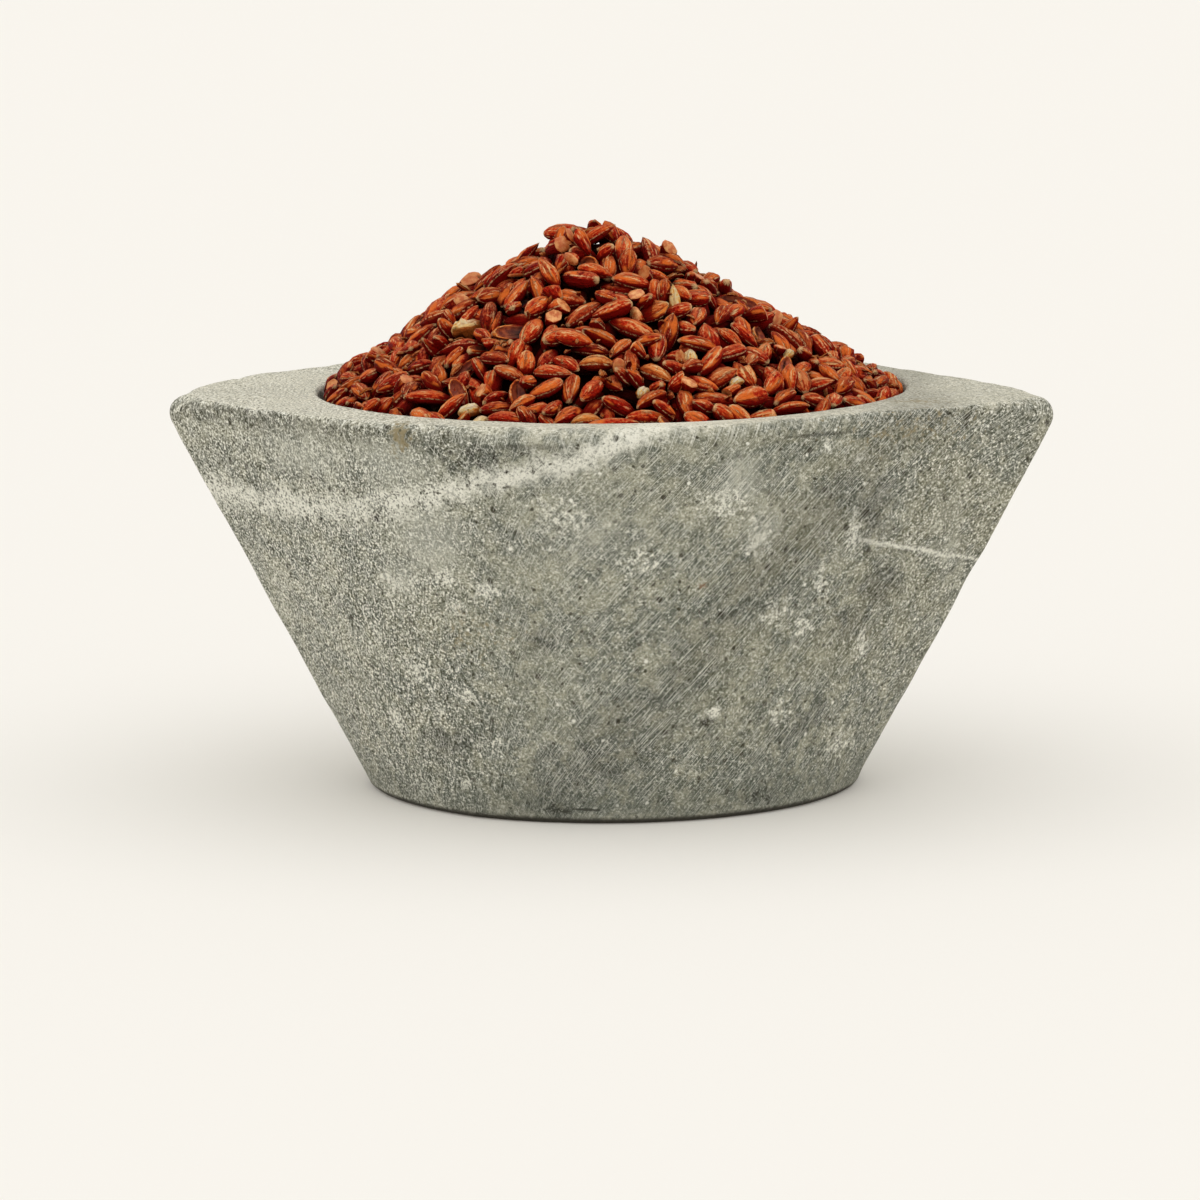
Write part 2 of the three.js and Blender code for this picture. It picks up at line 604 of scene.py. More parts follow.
@dataclass(frozen=True)
class Vein:
    """A thin sheet of other rock, which comes into view over a range of x."""

    point: Point
    across: Point
    thickness: float
    wander: float
    size: float
    shows: tuple[float, float] | None = None

    def mask(self, ground: Ground) -> Output:
        """Where the stone shows it.

        Args:
            ground: what it is drawn from.

        Returns:
            The mask.
        """
        bench = ground.bench
        cut = (self.point, self.across, self.thickness, self.wander, self.size)
        sheet = ground.effects.sheet.on(bench, ground.place, *cut)
        return bench.times(sheet, bench.ranged(ground.x, *self.shows)) if self.shows else sheet


@dataclass(frozen=True)
class Soapstone(Finish):
    """The finish of the bowl: fine-grained grey-green stone with pale veins, sanded by hand.

    Each layer of it is a method that takes what the layer is drawn from and the colour below, and gives
    back the colour with the layer on it.
    """

    name: str = "soapstone"
    grey_green: Colour = (0.200, 0.208, 0.154)
    blue_grey: Colour = (0.108, 0.122, 0.099)
    beige: Colour = (0.410, 0.400, 0.300)
    olive: Colour = (0.160, 0.156, 0.096)
    dry_stone: Colour = (0.420, 0.416, 0.330)
    chalky: Colour = (0.560, 0.560, 0.480)
    dusty_rim: Colour = (0.770, 0.730, 0.590)
    pepper: Colour = (0.045, 0.044, 0.024)
    salt: Colour = (0.880, 0.865, 0.765)
    vein: Colour = (0.790, 0.780, 0.680)
    brown_stain: Colour = (0.290, 0.240, 0.135)
    pit: Colour = (0.030, 0.026, 0.018)
    rust: Colour = (0.220, 0.100, 0.050)
    level_vein: Vein = Vein((-50.0, -20.0, 45.3), (0.0, 0.0, 1.0), 3.2, 8.0, 8.0, (-34.0, -42.0))
    rising_vein: Vein = Vein((-30.0, -40.0, 48.2), (-0.29, 0.0, 0.96), 3.0, 5.0, 8.0, (-44.0, -36.0))
    thread: Vein = Vein((45.0, -23.0, 37.8), (0.30, 0.0, 0.95), 0.6, 1.6, 5.0, (33.0, 37.0))
    dark_band: Vein = Vein((12.0, -41.0, 26.0), (-0.72, 0.0, 0.69), 7.0, 9.0, 14.0)
    scratches: tuple[Scratches, ...] = (
        Scratches(47.0, 5.0, 0.17, 0.53, 0.60, left=-14.0),
        Scratches(43.0, 14.0, 0.26, 0.60, 0.75, left=-8.0),
        Scratches(66.0, 3.5, 0.20, 0.55, 0.60, right=-6.0),
        Scratches(-56.0, 3.0, 0.24, 0.58, 0.70, right=0.0),
    )
    scratch_fade: float = 10.0  # how gently the scratches end to the left and right
    specks: tuple[tuple[float, float, float, Colour], ...] = (  # spacing, size, share and colour
        (2.1, 0.34, 0.16, (0.900, 0.890, 0.800)),
        (1.3, 0.34, 0.36, (0.040, 0.036, 0.020)),
        (3.0, 0.55, 0.34, (0.035, 0.030, 0.016)),
    )
    thin_marks: tuple[Mark, ...] = mark_rows(
        (-4.4, -36.6, 2.3, 2.7, 1.6, 0.28, 0.95),
        (-12.0, -49.8, 57.0, 8.5, 3.0, 0.5, 0.40),
        (30.0, -41.0, 57.0, 9.0, 6.0, 0.35, 0.50),
    )

    def inputs(self, bench: Bench, effects: Effects) -> Inputs:
        """Wires the stone, layer by layer.

        Args:
            bench: the material's tree.
            effects: the shared effects.

        Returns:
            What goes into the shader's sockets, by name.
        """
        place = bench.place()
        x, _, z = bench.split(place)
        rough = bench.noise(place, 0.9, detail=3.0, roughness=0.65)
        blotch = bench.noise(place, 3.2, detail=3.0, roughness=0.6)
        grain = bench.noise(place, 0.36, detail=2.0, roughness=0.75)
        ground = Ground(bench, effects, place, x, z, bench.attribute("top"), blotch, rough, grain)
        colour: Wire = self.grey_green
        for layer in (
            self.banded, self.veined, self.dusted, self.speckled, self.toned, self.scratched, self.marked,
            self.set_down,
        ):
            colour = layer(ground, colour)
        return {
            "Base Color": colour,
            "Roughness": bench.ranged(grain, 0.3, 0.7, 0.92, 0.72),
            "Specular IOR Level": 0.3,
            "Normal": bench.bumped(grain, 0.8, 0.18),
        }

    def banded(self, ground: Ground, colour: Wire) -> Output:
        """Broad bands of bluer and warmer rock, tilted as they were laid down, drier towards the rim, and
        painted shade that makes the wall bluer and darker towards the foot.
        """
        bench, x, z, blotch = ground.bench, ground.x, ground.z, ground.blotch
        dry = bench.plus(bench.ranged(z, 12.0, 58.0, 0.0, 0.30), bench.ranged(x, -26.0, -50.0, 0.0, 0.65))
        tilt = {"Vector": ground.place, "Rotation": (0.0, math.radians(42), 0.0), "Scale": (0.4, 0.7, 1.0)}
        tilted = bench.node("ShaderNodeMapping", tilt).outputs[0]
        broad = ground.effects.clouds.on(bench, tilted, 8.0, 0.07, 0.50)
        moved = bench.vector("ADD", ground.place, (3.0, 17.0, 43.0))
        mottled = ground.effects.clouds.on(bench, moved, 1.4, 0.09, 0.56)
        return bench.coated(
            colour,
            (dry, self.dry_stone),
            (bench.ranged(x, -12.0, 40.0, 0.0, 0.72), self.olive),
            # Painted shade: bluer and darker towards the foot
            (bench.ranged(z, 30.0, 2.0, 0.0, 0.65), self.blue_grey),
            (bench.times(broad, 0.75), self.blue_grey),
            (bench.ranged(blotch, 0.51, 0.64, 0.0, 0.65), self.beige),
            (bench.ranged(blotch, 0.47, 0.36, 0.0, 0.70), self.blue_grey),
            (bench.times(mottled, 0.4), self.beige),
        )

    def veined(self, ground: Ground, colour: Wire) -> Output:
        """Two broad pale veins, a thin one and the scuffs."""
        bench = ground.bench
        broad = bench.times(
            bench.most(self.level_vein.mask(ground), self.rising_vein.mask(ground)),
            bench.ranged(ground.blotch, 0.36, 0.50, 0.5, 1.2),
            bench.ranged(ground.rough, 0.34, 0.52, 0.45, 1.0),
            0.95,
        )
        thin = bench.times(self.thread.mask(ground), 0.9)
        scuffed = bench.times(ground.marks("scuffed"), bench.ranged(ground.grain, 0.40, 0.54, 0.3, 1.0))
        return bench.coated(colour, (broad, self.vein), (thin, self.vein), (scuffed, self.vein))

    def dusted(self, ground: Ground, colour: Wire) -> Output:
        """Pale dusting on the rim's flat top and on every worn edge."""
        bench, blotch, rough = ground.bench, ground.blotch, ground.rough
        on_top = bench.times(
            ground.top,
            bench.ranged(rough, 0.36, 0.60, 1.0, 0.5),
            bench.ranged(blotch, 0.40, 0.62, 1.0, 0.75),
            bench.ranged(ground.x, 10.0, 40.0, 1.0, 0.85),
        )
        worn = bench.times(
            bench.attribute("worn"),
            bench.ranged(blotch, 0.35, 0.65, 0.2, 0.95),
            bench.ranged(rough, 0.36, 0.56, 0.3, 1.0),
        )
        return bench.coated(colour, (bench.most(on_top, worn), self.dusty_rim))

    def speckled(self, ground: Ground, colour: Wire) -> Output:
        """Salt and pepper in clusters, strongest towards the two lugs, and larger specks all over."""
        bench, x, z, rough, grain = ground.bench, ground.x, ground.z, ground.rough, ground.grain
        flank = bench.most(bench.ranged(x, -10.0, -38.0, 0.55, 1.8), bench.ranged(x, 26.0, 46.0, 0.55, 0.95))
        flank = bench.times(flank, bench.times_plus(ground.top, -0.15, 1.0))
        light = bench.times(bench.ranged(grain, 0.51, 0.64), bench.ranged(rough, 0.36, 0.6, 0.35, 1.2), flank)
        dark = bench.times(bench.ranged(grain, 0.48, 0.34), bench.ranged(rough, 0.64, 0.4, 0.35, 1.2), flank)
        under_rim = bench.times(
            bench.ranged(z, 54.5, 57.5), bench.ranged(z, 59.3, 58.7),
            bench.ranged(x, -14.0, -26.0), bench.ranged(rough, 0.60, 0.42), 0.6,
        )
        colour = bench.coated(colour, (light, self.salt), (dark, self.pepper), (under_rim, self.pepper))
        fainter = bench.times_plus(ground.top, -0.5, 0.9)
        for spacing, size, share, tint in self.specks:
            moved = bench.vector("ADD", ground.place, (9.0 * spacing,) * 3)
            strewn = ground.effects.specks.on(bench, moved, spacing, size, share)
            colour = bench.coated(colour, (bench.times(strewn, fainter), tint))
        return colour

    def toned(self, ground: Ground, colour: Wire) -> Output:
        """Lightens and darkens broad patches of the stone, and a dark band that rises to the right. The
        darkened patches are partly darker stone and partly painted shade beside the right lug and low on the
        wall.
        """
        bench = ground.bench
        sway = bench.centred(ground.blotch)
        bleached = bench.times_plus(sway, 2.0, bench.attribute("bleached"))
        # Darker stone, and painted shade beside the right lug and low on the wall
        darkened = bench.times_plus(sway, -2.0, bench.attribute("darkened"))
        dark = bench.most(bench.ranged(darkened, -0.2, 1.0), bench.times(self.dark_band.mask(ground), 0.65))
        colour = bench.scaled(colour, bench.times_plus(dark, -0.42, 1.0))
        return bench.coated(colour, (bench.ranged(bleached, -0.2, 1.0, 0.0, 0.42), self.chalky))

    def scratched(self, ground: Ground, colour: Wire) -> Output:
        """All the sanding scratches, which are patchy, and fainter on the rim's flat top."""
        bench, x, fade = ground.bench, ground.x, self.scratch_fade
        unrolled = bench.scaled(bench.mapped("unrolled"), UNROLLED)
        shown: Wire = 0.0
        for i, layer in enumerate(self.scratches):
            moved = bench.vector("ADD", unrolled, (17.0 * i, 31.0 * i, 0.0))
            form = (-math.radians(layer.turn), layer.length, layer.width, layer.level)
            from_left = bench.ranged(x, layer.left - fade, layer.left + fade)
            to_right = bench.ranged(x, layer.right + fade, layer.right - fade)
            within = bench.times(from_left, to_right, layer.strength)
            shown = bench.most(shown, bench.times(ground.effects.strokes.on(bench, moved, *form), within))
        patchy = bench.ranged(ground.blotch, 0.64, 0.42, 0.35, 1.0)
        shown = bench.times(shown, patchy, bench.times_plus(ground.top, -0.7, 1.0), 0.8)
        return bench.coated(colour, (shown, self.salt))

    def marked(self, ground: Ground, colour: Wire) -> Output:
        """Brown stains, rust, pits and thin dark lines."""
        bench = ground.bench
        pitted = bench.times(ground.marks("pitted"), bench.ranged(ground.grain, 0.62, 0.50, 0.4, 1.0))
        stained, rusty = ground.marks("stained"), ground.marks("rusty")
        colour = bench.coated(colour, (stained, self.brown_stain), (rusty, self.rust), (pitted, self.pit))
        for mark in self.thin_marks:
            spot = ground.effects.spot.on(bench, ground.place, mark.centre, mark.reach, ground.rough, 1.6)
            colour = bench.coated(colour, (bench.times(spot, mark.strength), self.pit))
        return colour

    def set_down(self, ground: Ground, colour: Wire) -> Output:
        """Painted shade: a bluer foot, and a painted contact shadow as a dark line where the stone meets the
        ground.
        """
        # Painted shade near the floor, and a painted contact shadow along the foot
        foot = ground.bench.ranged(ground.z, 9.0, 0.0, 0.0, 0.4)
        line = ground.bench.ranged(ground.z, 1.3, 0.5, 0.0, 0.95)
        return ground.bench.coated(colour, (foot, self.blue_grey), (line, self.pit))


@dataclass
class StoneBowl:
    """The bowl: straight walls that lean out from a round foot to a rim with two pointed lugs."""

    effects: Effects
    rim_height: float = 59.5
    foot_radius: float = 36.4
    foot_edge: float = 1.6
    crisp_edge: float = 0.6
    worn_edge: float = 2.6
    front_wear: float = 5.0
    lug_wear: float = 0.1
    corners: tuple[RimCorner, ...] = (
        RimCorner(-67.5, -5.1, 1.6, is_lug=True),
        RimCorner(-13.0, -65.6, 49.5),
        RimCorner(66.9, -18.8, 1.7, is_lug=True),
        RimCorner(25.6, 53.7, 35.0),
        RimCorner(-40.3, 53.7, 70.0),
    )
    hollow_radius: float = 43.75
    hollow_depth: float = 46.0
    hollow_edge: float = 0.8
    hollow_fullness: float = 2.6
    belly: float = 0.3
    column_spacing: float = 0.68
    foot_rings: tuple[float, ...] = (0.3, 0.6, 0.8, 0.92, 0.98)
    foot_steps: int = 6
    wall_steps: int = 74
    edge_steps: int = 10
    top_steps: int = 16
    lip_steps: int = 6
    hollow_steps: int = 14
    nicks: tuple[Nick, ...] = (
        Nick((51.5, -17.0, 32.0), 3.2, 0.5),
        Nick((-8.5, -35.9, 1.9), 1.4, 0.7),
        Nick((-52.8, -20.7, 59.4), 1.6, 0.35),
        Nick((13.3, -37.7, 15.2), 0.9, 0.35),
        Nick((-22.0, -30.9, 5.3), 1.0, 0.25),
    )
    edge_nicks: int = 46
    waves: tuple[tuple[float, float, float], ...] = (  # size, depth and seed of each unevenness
        (26.0, 0.35, 3.1), (9.0, 0.14, 8.4), (3.2, 0.07, 1.7),
    )
    seed: int = 7
    marks: dict[str, tuple[Mark, ...]] = field(default_factory=lambda: {
        "scuffed": mark_rows(
            (-31.2, -34.6, 35.5, 4.5, 4.5, 1.8, 0.7), (-24.2, -40.1, 37.1, 3.2, 3.0, 1.6, 0.8),
            (-18.2, -42.6, 35.5, 3.5, 3.0, 1.6, 0.7), (-34.4, -27.8, 27.1, 1.2, 2.0, 2.6, 0.6),
            (-28.6, -31.8, 22.2, 3.0, 3.0, 2.4, 0.7), (-22.5, -39.6, 32.2, 1.6, 2.0, 2.4, 0.5),
            (-20.9, -36.2, 18.9, 2.0, 2.0, 1.6, 0.7), (-31.8, -24.8, 13.7, 3.0, 3.0, 2.0, 0.7),
            (-25.2, -32.5, 16.4, 1.6, 2.0, 1.2, 0.6), (-17.6, -35.7, 12.1, 2.0, 2.0, 1.2, 0.5),
            (-28.1, -24.6, 3.2, 4.0, 4.0, 2.6, 0.4), (-22.0, -30.9, 5.3, 1.7, 1.7, 1.0, 1.0),
            (-52.8, -20.7, 59.2, 3.0, 2.4, 1.5, 1.0), (-7.6, -48.2, 46.3, 5.0, 4.0, 4.0, 0.35),
            (3.6, -46.5, 40.2, 4.0, 4.0, 3.0, 0.3), (15.5, -45.3, 48.1, 5.0, 4.0, 3.5, 0.55),
            (20.4, -41.5, 42.6, 3.0, 3.0, 3.5, 0.5), (20.0, -47.5, 56.2, 1.1, 1.8, 1.0, 1.0),
            (30.6, -38.9, 55.1, 1.0, 2.0, 1.4, 0.8), (35.1, -35.5, 53.0, 1.6, 2.0, 1.0, 0.8),
            (34.5, -32.7, 42.2, 1.2, 3.0, 4.4, 0.8), (29.8, -34.0, 35.0, 1.2, 3.0, 4.0, 0.5),
            (27.2, -33.5, 28.2, 2.4, 3.0, 2.4, 0.5), (22.8, -37.0, 30.9, 4.0, 3.0, 3.0, 0.45),
            (35.8, -25.5, 24.5, 1.2, 2.0, 3.0, 0.7), (14.3, -37.7, 16.8, 1.4, 2.0, 1.5, 0.9),
            (23.7, -32.2, 15.3, 3.0, 3.0, 2.0, 0.45), (32.5, -22.2, 9.4, 4.0, 4.0, 4.0, 0.45),
        ),
        "bleached": mark_rows(
            (-45.2, -28.1, 53.5, 14.0, 12.0, 5.0, 0.6), (-31.7, -40.0, 53.5, 9.0, 12.0, 4.5, 0.7),
            (-26.3, -40.7, 42.5, 8.0, 10.0, 6.0, 0.9), (-30.8, -35.7, 37.5, 6.0, 8.0, 5.0, 0.5),
            (18.0, -45.1, 51.3, 6.0, 8.0, 5.0, 0.6), (20.8, -41.9, 44.0, 3.5, 8.0, 5.0, 0.5),
            (49.2, -20.8, 38.8, 3.0, 10.0, 8.0, 0.3), (-3.0, -45.5, 44.0, 7.0, 10.0, 4.0, 0.4),
        ),
        # Darker stone, and painted shade beside the right lug and low on the wall
        "darkened": mark_rows(
            (37.5, -32.0, 46.0, 3.5, 8.0, 9.0, 0.9), (38.7, -26.5, 33.1, 4.5, 8.0, 4.0, 1.0),
            (34.2, -28.3, 28.3, 4.0, 8.0, 4.0, 0.5), (26.8, -29.4, 13.9, 6.0, 8.0, 4.0, 0.4),
            (-2.4, -39.0, 10.0, 9.0, 8.0, 5.0, 0.5), (-10.7, -42.7, 28.2, 3.0, 8.0, 3.0, 0.7),
            (-24.8, -31.0, 11.8, 6.0, 8.0, 3.5, 0.6), (-19.0, -47.0, 54.6, 9.0, 6.0, 2.6, 0.2),
        ),
        "pitted": mark_rows(
            (-8.5, -35.9, 1.9, 2.4, 2.4, 1.3, 1.0), (6.3, -36.8, 3.6, 1.8, 2.0, 1.1, 0.3),
            (20.9, -30.6, 3.0, 4.6, 4.6, 1.9, 0.3), (13.0, -37.7, 15.1, 1.4, 1.8, 0.9, 1.0),
            (-43.5, -27.6, 49.6, 2.4, 2.4, 1.6, 0.3), (-36.6, -34.9, 49.0, 1.2, 1.5, 1.8, 0.4),
            (-34.1, -35.7, 45.2, 0.8, 1.2, 0.8, 0.7), (-42.5, -25.8, 43.8, 0.8, 1.2, 0.8, 0.7),
            (-16.0, -48.5, 55.2, 12.0, 4.5, 2.4, 0.18), (38.0, -30.0, 31.0, 1.6, 2.0, 1.2, 0.6),
        ),
        "stained": mark_rows(
            (-30.2, -43.0, 58.0, 2.0, 6.0, 3.4, 0.62), (44.5, -22.5, 59.2, 5.0, 4.0, 2.0, 0.35),
            (42.0, -31.0, 56.5, 8.0, 8.0, 2.2, 0.14), (-21.0, -39.0, 29.0, 4.0, 4.0, 3.0, 0.12),
        ),
        "rusty": mark_rows(
            (-40.0, -22.0, 22.5, 0.9, 1.2, 1.1, 0.9), (12.5, -43.0, 36.0, 0.9, 1.2, 0.7, 0.4),
        ),
    })

    def outline(self) -> np.ndarray:
        """The rim's outline from above, anticlockwise, as (columns, 2)."""
        points: list[Vector] = []
        rounds = []
        for i, corner in enumerate(self.corners):
            here = Vector((corner.x, corner.y))
            before, after = (
                (Vector((near.x, near.y)) - here).normalized()
                for near in (self.corners[i - 1], self.corners[(i + 1) % len(self.corners)])
            )
            half = before.angle(after) / 2
            centre = here + (before + after).normalized() * corner.round / math.sin(half)
            reach = corner.round / math.tan(half)
            start, end = here + before * reach, here + after * reach
            rounds.append((start, end, centre, corner.round, math.pi - 2 * half))
        for i, (start, end, centre, radius, sweep) in enumerate(rounds):
            count = max(2, round(radius * sweep / self.column_spacing))
            turns = (Matrix.Rotation(sweep * k / count, 2) for k in range(count))
            points += [centre + turn @ (start - centre) for turn in turns]
            following = rounds[(i + 1) % len(rounds)][0]
            count = max(2, round((following - end).length / self.column_spacing))
            points += [end.lerp(following, k / count) for k in range(count)]
        return np.array(points)

    def rim_edge(self, directions: np.ndarray) -> np.ndarray:
        """How much the rim's outer edge is rounded.

        Args:
            directions: unit vectors from above, as (columns, 2).

        Returns:
            The radius of the rounding in each direction.
        """
        worn = np.maximum(0.0, -directions[:, 1]) ** self.front_wear
        for lug in (corner for corner in self.corners if corner.is_lug):
            cosine = directions @ np.array((lug.x, lug.y)) / math.hypot(lug.x, lug.y)
            away = np.arccos(np.clip(cosine, -1, 1))
            worn = np.maximum(worn, np.exp(-((away / self.lug_wear) ** 2)))
        return self.crisp_edge + (self.worn_edge - self.crisp_edge) * worn

    def sections(self) -> tuple[np.ndarray, dict[str, np.ndarray]]:
        """The bowl's section below each point of the rim, from the foot's centre round to the floor's.

        Returns:
            The grid of points, as (columns, rows, 3), and as (columns, rows) the masks of the worn edges and
            the flat top, and how much carving each point takes.
        """
        rim = self.outline()
        reach = np.linalg.norm(rim, axis=1)
        directions = rim / reach[:, None]
        lean = np.arctan((reach - self.foot_radius) / self.rim_height)
        rows: list[tuple[np.ndarray, np.ndarray, float, float, float]] = []

        def add(radius: Sizes, z: Sizes, worn: float, top: float, carved: float) -> None:
            """Adds one row: its radii, heights, masks and how much carving it takes."""
            rows.append((radius + 0 * reach, z + 0 * reach, worn, top, carved))

        def rounding(radius: Sizes, centre: Sizes, tilt: Sizes) -> tuple[Sizes, Sizes]:
            """A point on an edge's rounding, as its outward direction turns."""
            inside = self.foot_radius + centre * np.tan(lean) - radius / np.cos(lean)
            return inside + radius * np.cos(tilt), centre + radius * np.sin(tilt)

        quarter = math.pi / 2
        foot_start, _ = rounding(self.foot_edge, self.foot_edge, -quarter)
        add(0.0, 0.0, 0, 0, 0)
        for part in self.foot_rings:
            add(foot_start * part, 0.0, 0, 0, 0)
        for i in range(self.foot_steps + 1):
            turn = i / self.foot_steps
            radius, z = rounding(self.foot_edge, self.foot_edge, -quarter + (quarter - lean) * turn)
            add(radius, z, 0.6, 0, turn)
        low_radius, low_z = radius, z
        edge = self.rim_edge(directions)
        high_radius, high_z = rounding(edge, self.rim_height - edge, -lean)
        for i in range(1, self.wall_steps):
            up = i / self.wall_steps
            add(low_radius + (high_radius - low_radius) * up, low_z + (high_z - low_z) * up, 0, 0, 1)
        for i in range(self.edge_steps + 1):
            turn = i / self.edge_steps
            radius, z = rounding(edge, self.rim_height - edge, -lean + (quarter + lean) * turn)
            add(radius, z, turn, turn**4, 1)
        lip = self.hollow_radius + self.hollow_edge
        for i in range(1, self.top_steps):
            across = i / self.top_steps
            add(radius + (lip - radius) * across, self.rim_height, 0, 1, 0.7)
        for i in range(self.lip_steps + 1):
            turn = quarter * i / self.lip_steps
            add(
                self.hollow_radius + self.hollow_edge * (1 - math.sin(turn)),
                self.rim_height - self.hollow_edge * (1 - math.cos(turn)),
                0.6, 1 - i / self.lip_steps, 0.3,
            )
        power = 2 / self.hollow_fullness
        for i in range(1, self.hollow_steps + 1):
            turn = quarter * (i / self.hollow_steps) ** 1.3
            across = math.cos(turn) ** power if i < self.hollow_steps else 0.0
            down = self.hollow_edge + (self.hollow_depth - self.hollow_edge) * math.sin(turn) ** power
            add(self.hollow_radius * across, self.rim_height - down, 0, 0, 0)

        radii, heights, worn, top, carved = zip(*rows)
        radii, heights = np.array(radii).T, np.array(heights).T
        points = np.dstack((radii * directions[:, :1], radii * directions[:, 1:], heights))
        soft = np.convolve(np.pad(worn, 2, "edge"), (0.15, 0.2, 0.3, 0.2, 0.15), "valid")
        masks = {"worn": np.maximum(soft, worn), "top": np.array(top), "carved": np.array(carved)}
        return points, {label: np.ones_like(radii) * mask for label, mask in masks.items()}

    def carve(self, points: np.ndarray, carved: np.ndarray) -> np.ndarray:
        """Makes the true section uneven, as hand carving leaves it.

        Args:
            points: the grid of points.
            carved: how much carving each point takes.

        Returns:
            The moved points.
        """
        height = points[:, :, 2]
        rise = self.belly * np.sin(np.pi * np.clip(height / self.rim_height, 0, 1))
        for size, depth, seed in self.waves:
            rise += depth * unevenness(points, size, seed)
        generator = np.random.default_rng(self.seed)
        edge_row = int(np.argmax(height[0] > self.rim_height - 0.4))
        nicks = list(self.nicks)
        for _ in range(self.edge_nicks):
            column = generator.integers(len(points))
            place = tuple(points[column, edge_row] + generator.normal(0, 0.4, 3))
            size = generator.uniform(0.4, 1.2)
            nicks.append(Nick(place, size, size * generator.uniform(0.05, 0.2)))
        for nick in nicks:
            away = np.linalg.norm(points - np.array(nick.place), axis=2) / nick.radius
            rise -= nick.depth * np.exp(-(away**2))
        return points + skin_normals(points) * (rise * carved)[:, :, None]

    def build(self) -> bpy.types.Object:
        """Makes and dresses the bowl."""
        points, masks = self.sections()
        points = self.carve(points, masks.pop("carved"))
        for label, marks in self.marks.items():
            masks[label] = np.max([mark.mask(points) for mark in marks], axis=0)
        mesh = rolled_skin(points, "stone_bowl_carved", masks)
        mesh.materials.append(Soapstone().material(self.effects))
        return finished(mesh, "carved_stone_bowl", "stone_bowl")


# ---------------------------------------------------------------- the rice


@dataclass(frozen=True)
class Swell:
    """A soft rise or dip in the heap's slope."""

    x: float
    y: float
    height: float
    spread: float


@dataclass(frozen=True)
class HeapForm:
    """The heap's outer form, as heights above the hollow's lip."""

    radius: float = 43.45
    lip_height: float = 58.7
    height: float = 25.0
    top_x: float = -3.0
    crown: float = 1.2
    swells: tuple[Swell, ...] = (
        Swell(-40, 0, 1.8, 4.5),
        Swell(-34, 0, -1.3, 4),
        Swell(-26, 1, 1.5, 6),
        Swell(-6, 0, 1.1, 5),
        Swell(26, 1, -1.1, 7),
    )
    lump_height: float = 0.45
    lump_lengths: tuple[float, float] = (7.0, 11.0)
    lip_fade: float = 10.0

    def surface(self, x: np.ndarray, y: np.ndarray) -> np.ndarray:
        """How high the surface stands above the lip.

        Args:
            x: the places' x.
            y: the places' y.

        Returns:
            The height at each place.
        """
        out = np.minimum(1, np.hypot(x, y) / self.radius)
        from_top = np.minimum(1, np.hypot(x - self.top_x * (1 - out), y) / self.radius)
        slope = self.height * (1 - from_top**self.crown)
        uneven = np.zeros_like(out)
        for swell in self.swells:
            away = np.hypot(x - swell.x, y - swell.y) / swell.spread
            uneven += swell.height * np.exp(-(away**2))
        for i, length in enumerate(self.lump_lengths):
            wave = 2 * np.pi / length
            uneven += self.lump_height * np.sin(wave * x + i) * np.cos(wave * y - i)
        return slope + uneven * (1 - out**self.lip_fade)


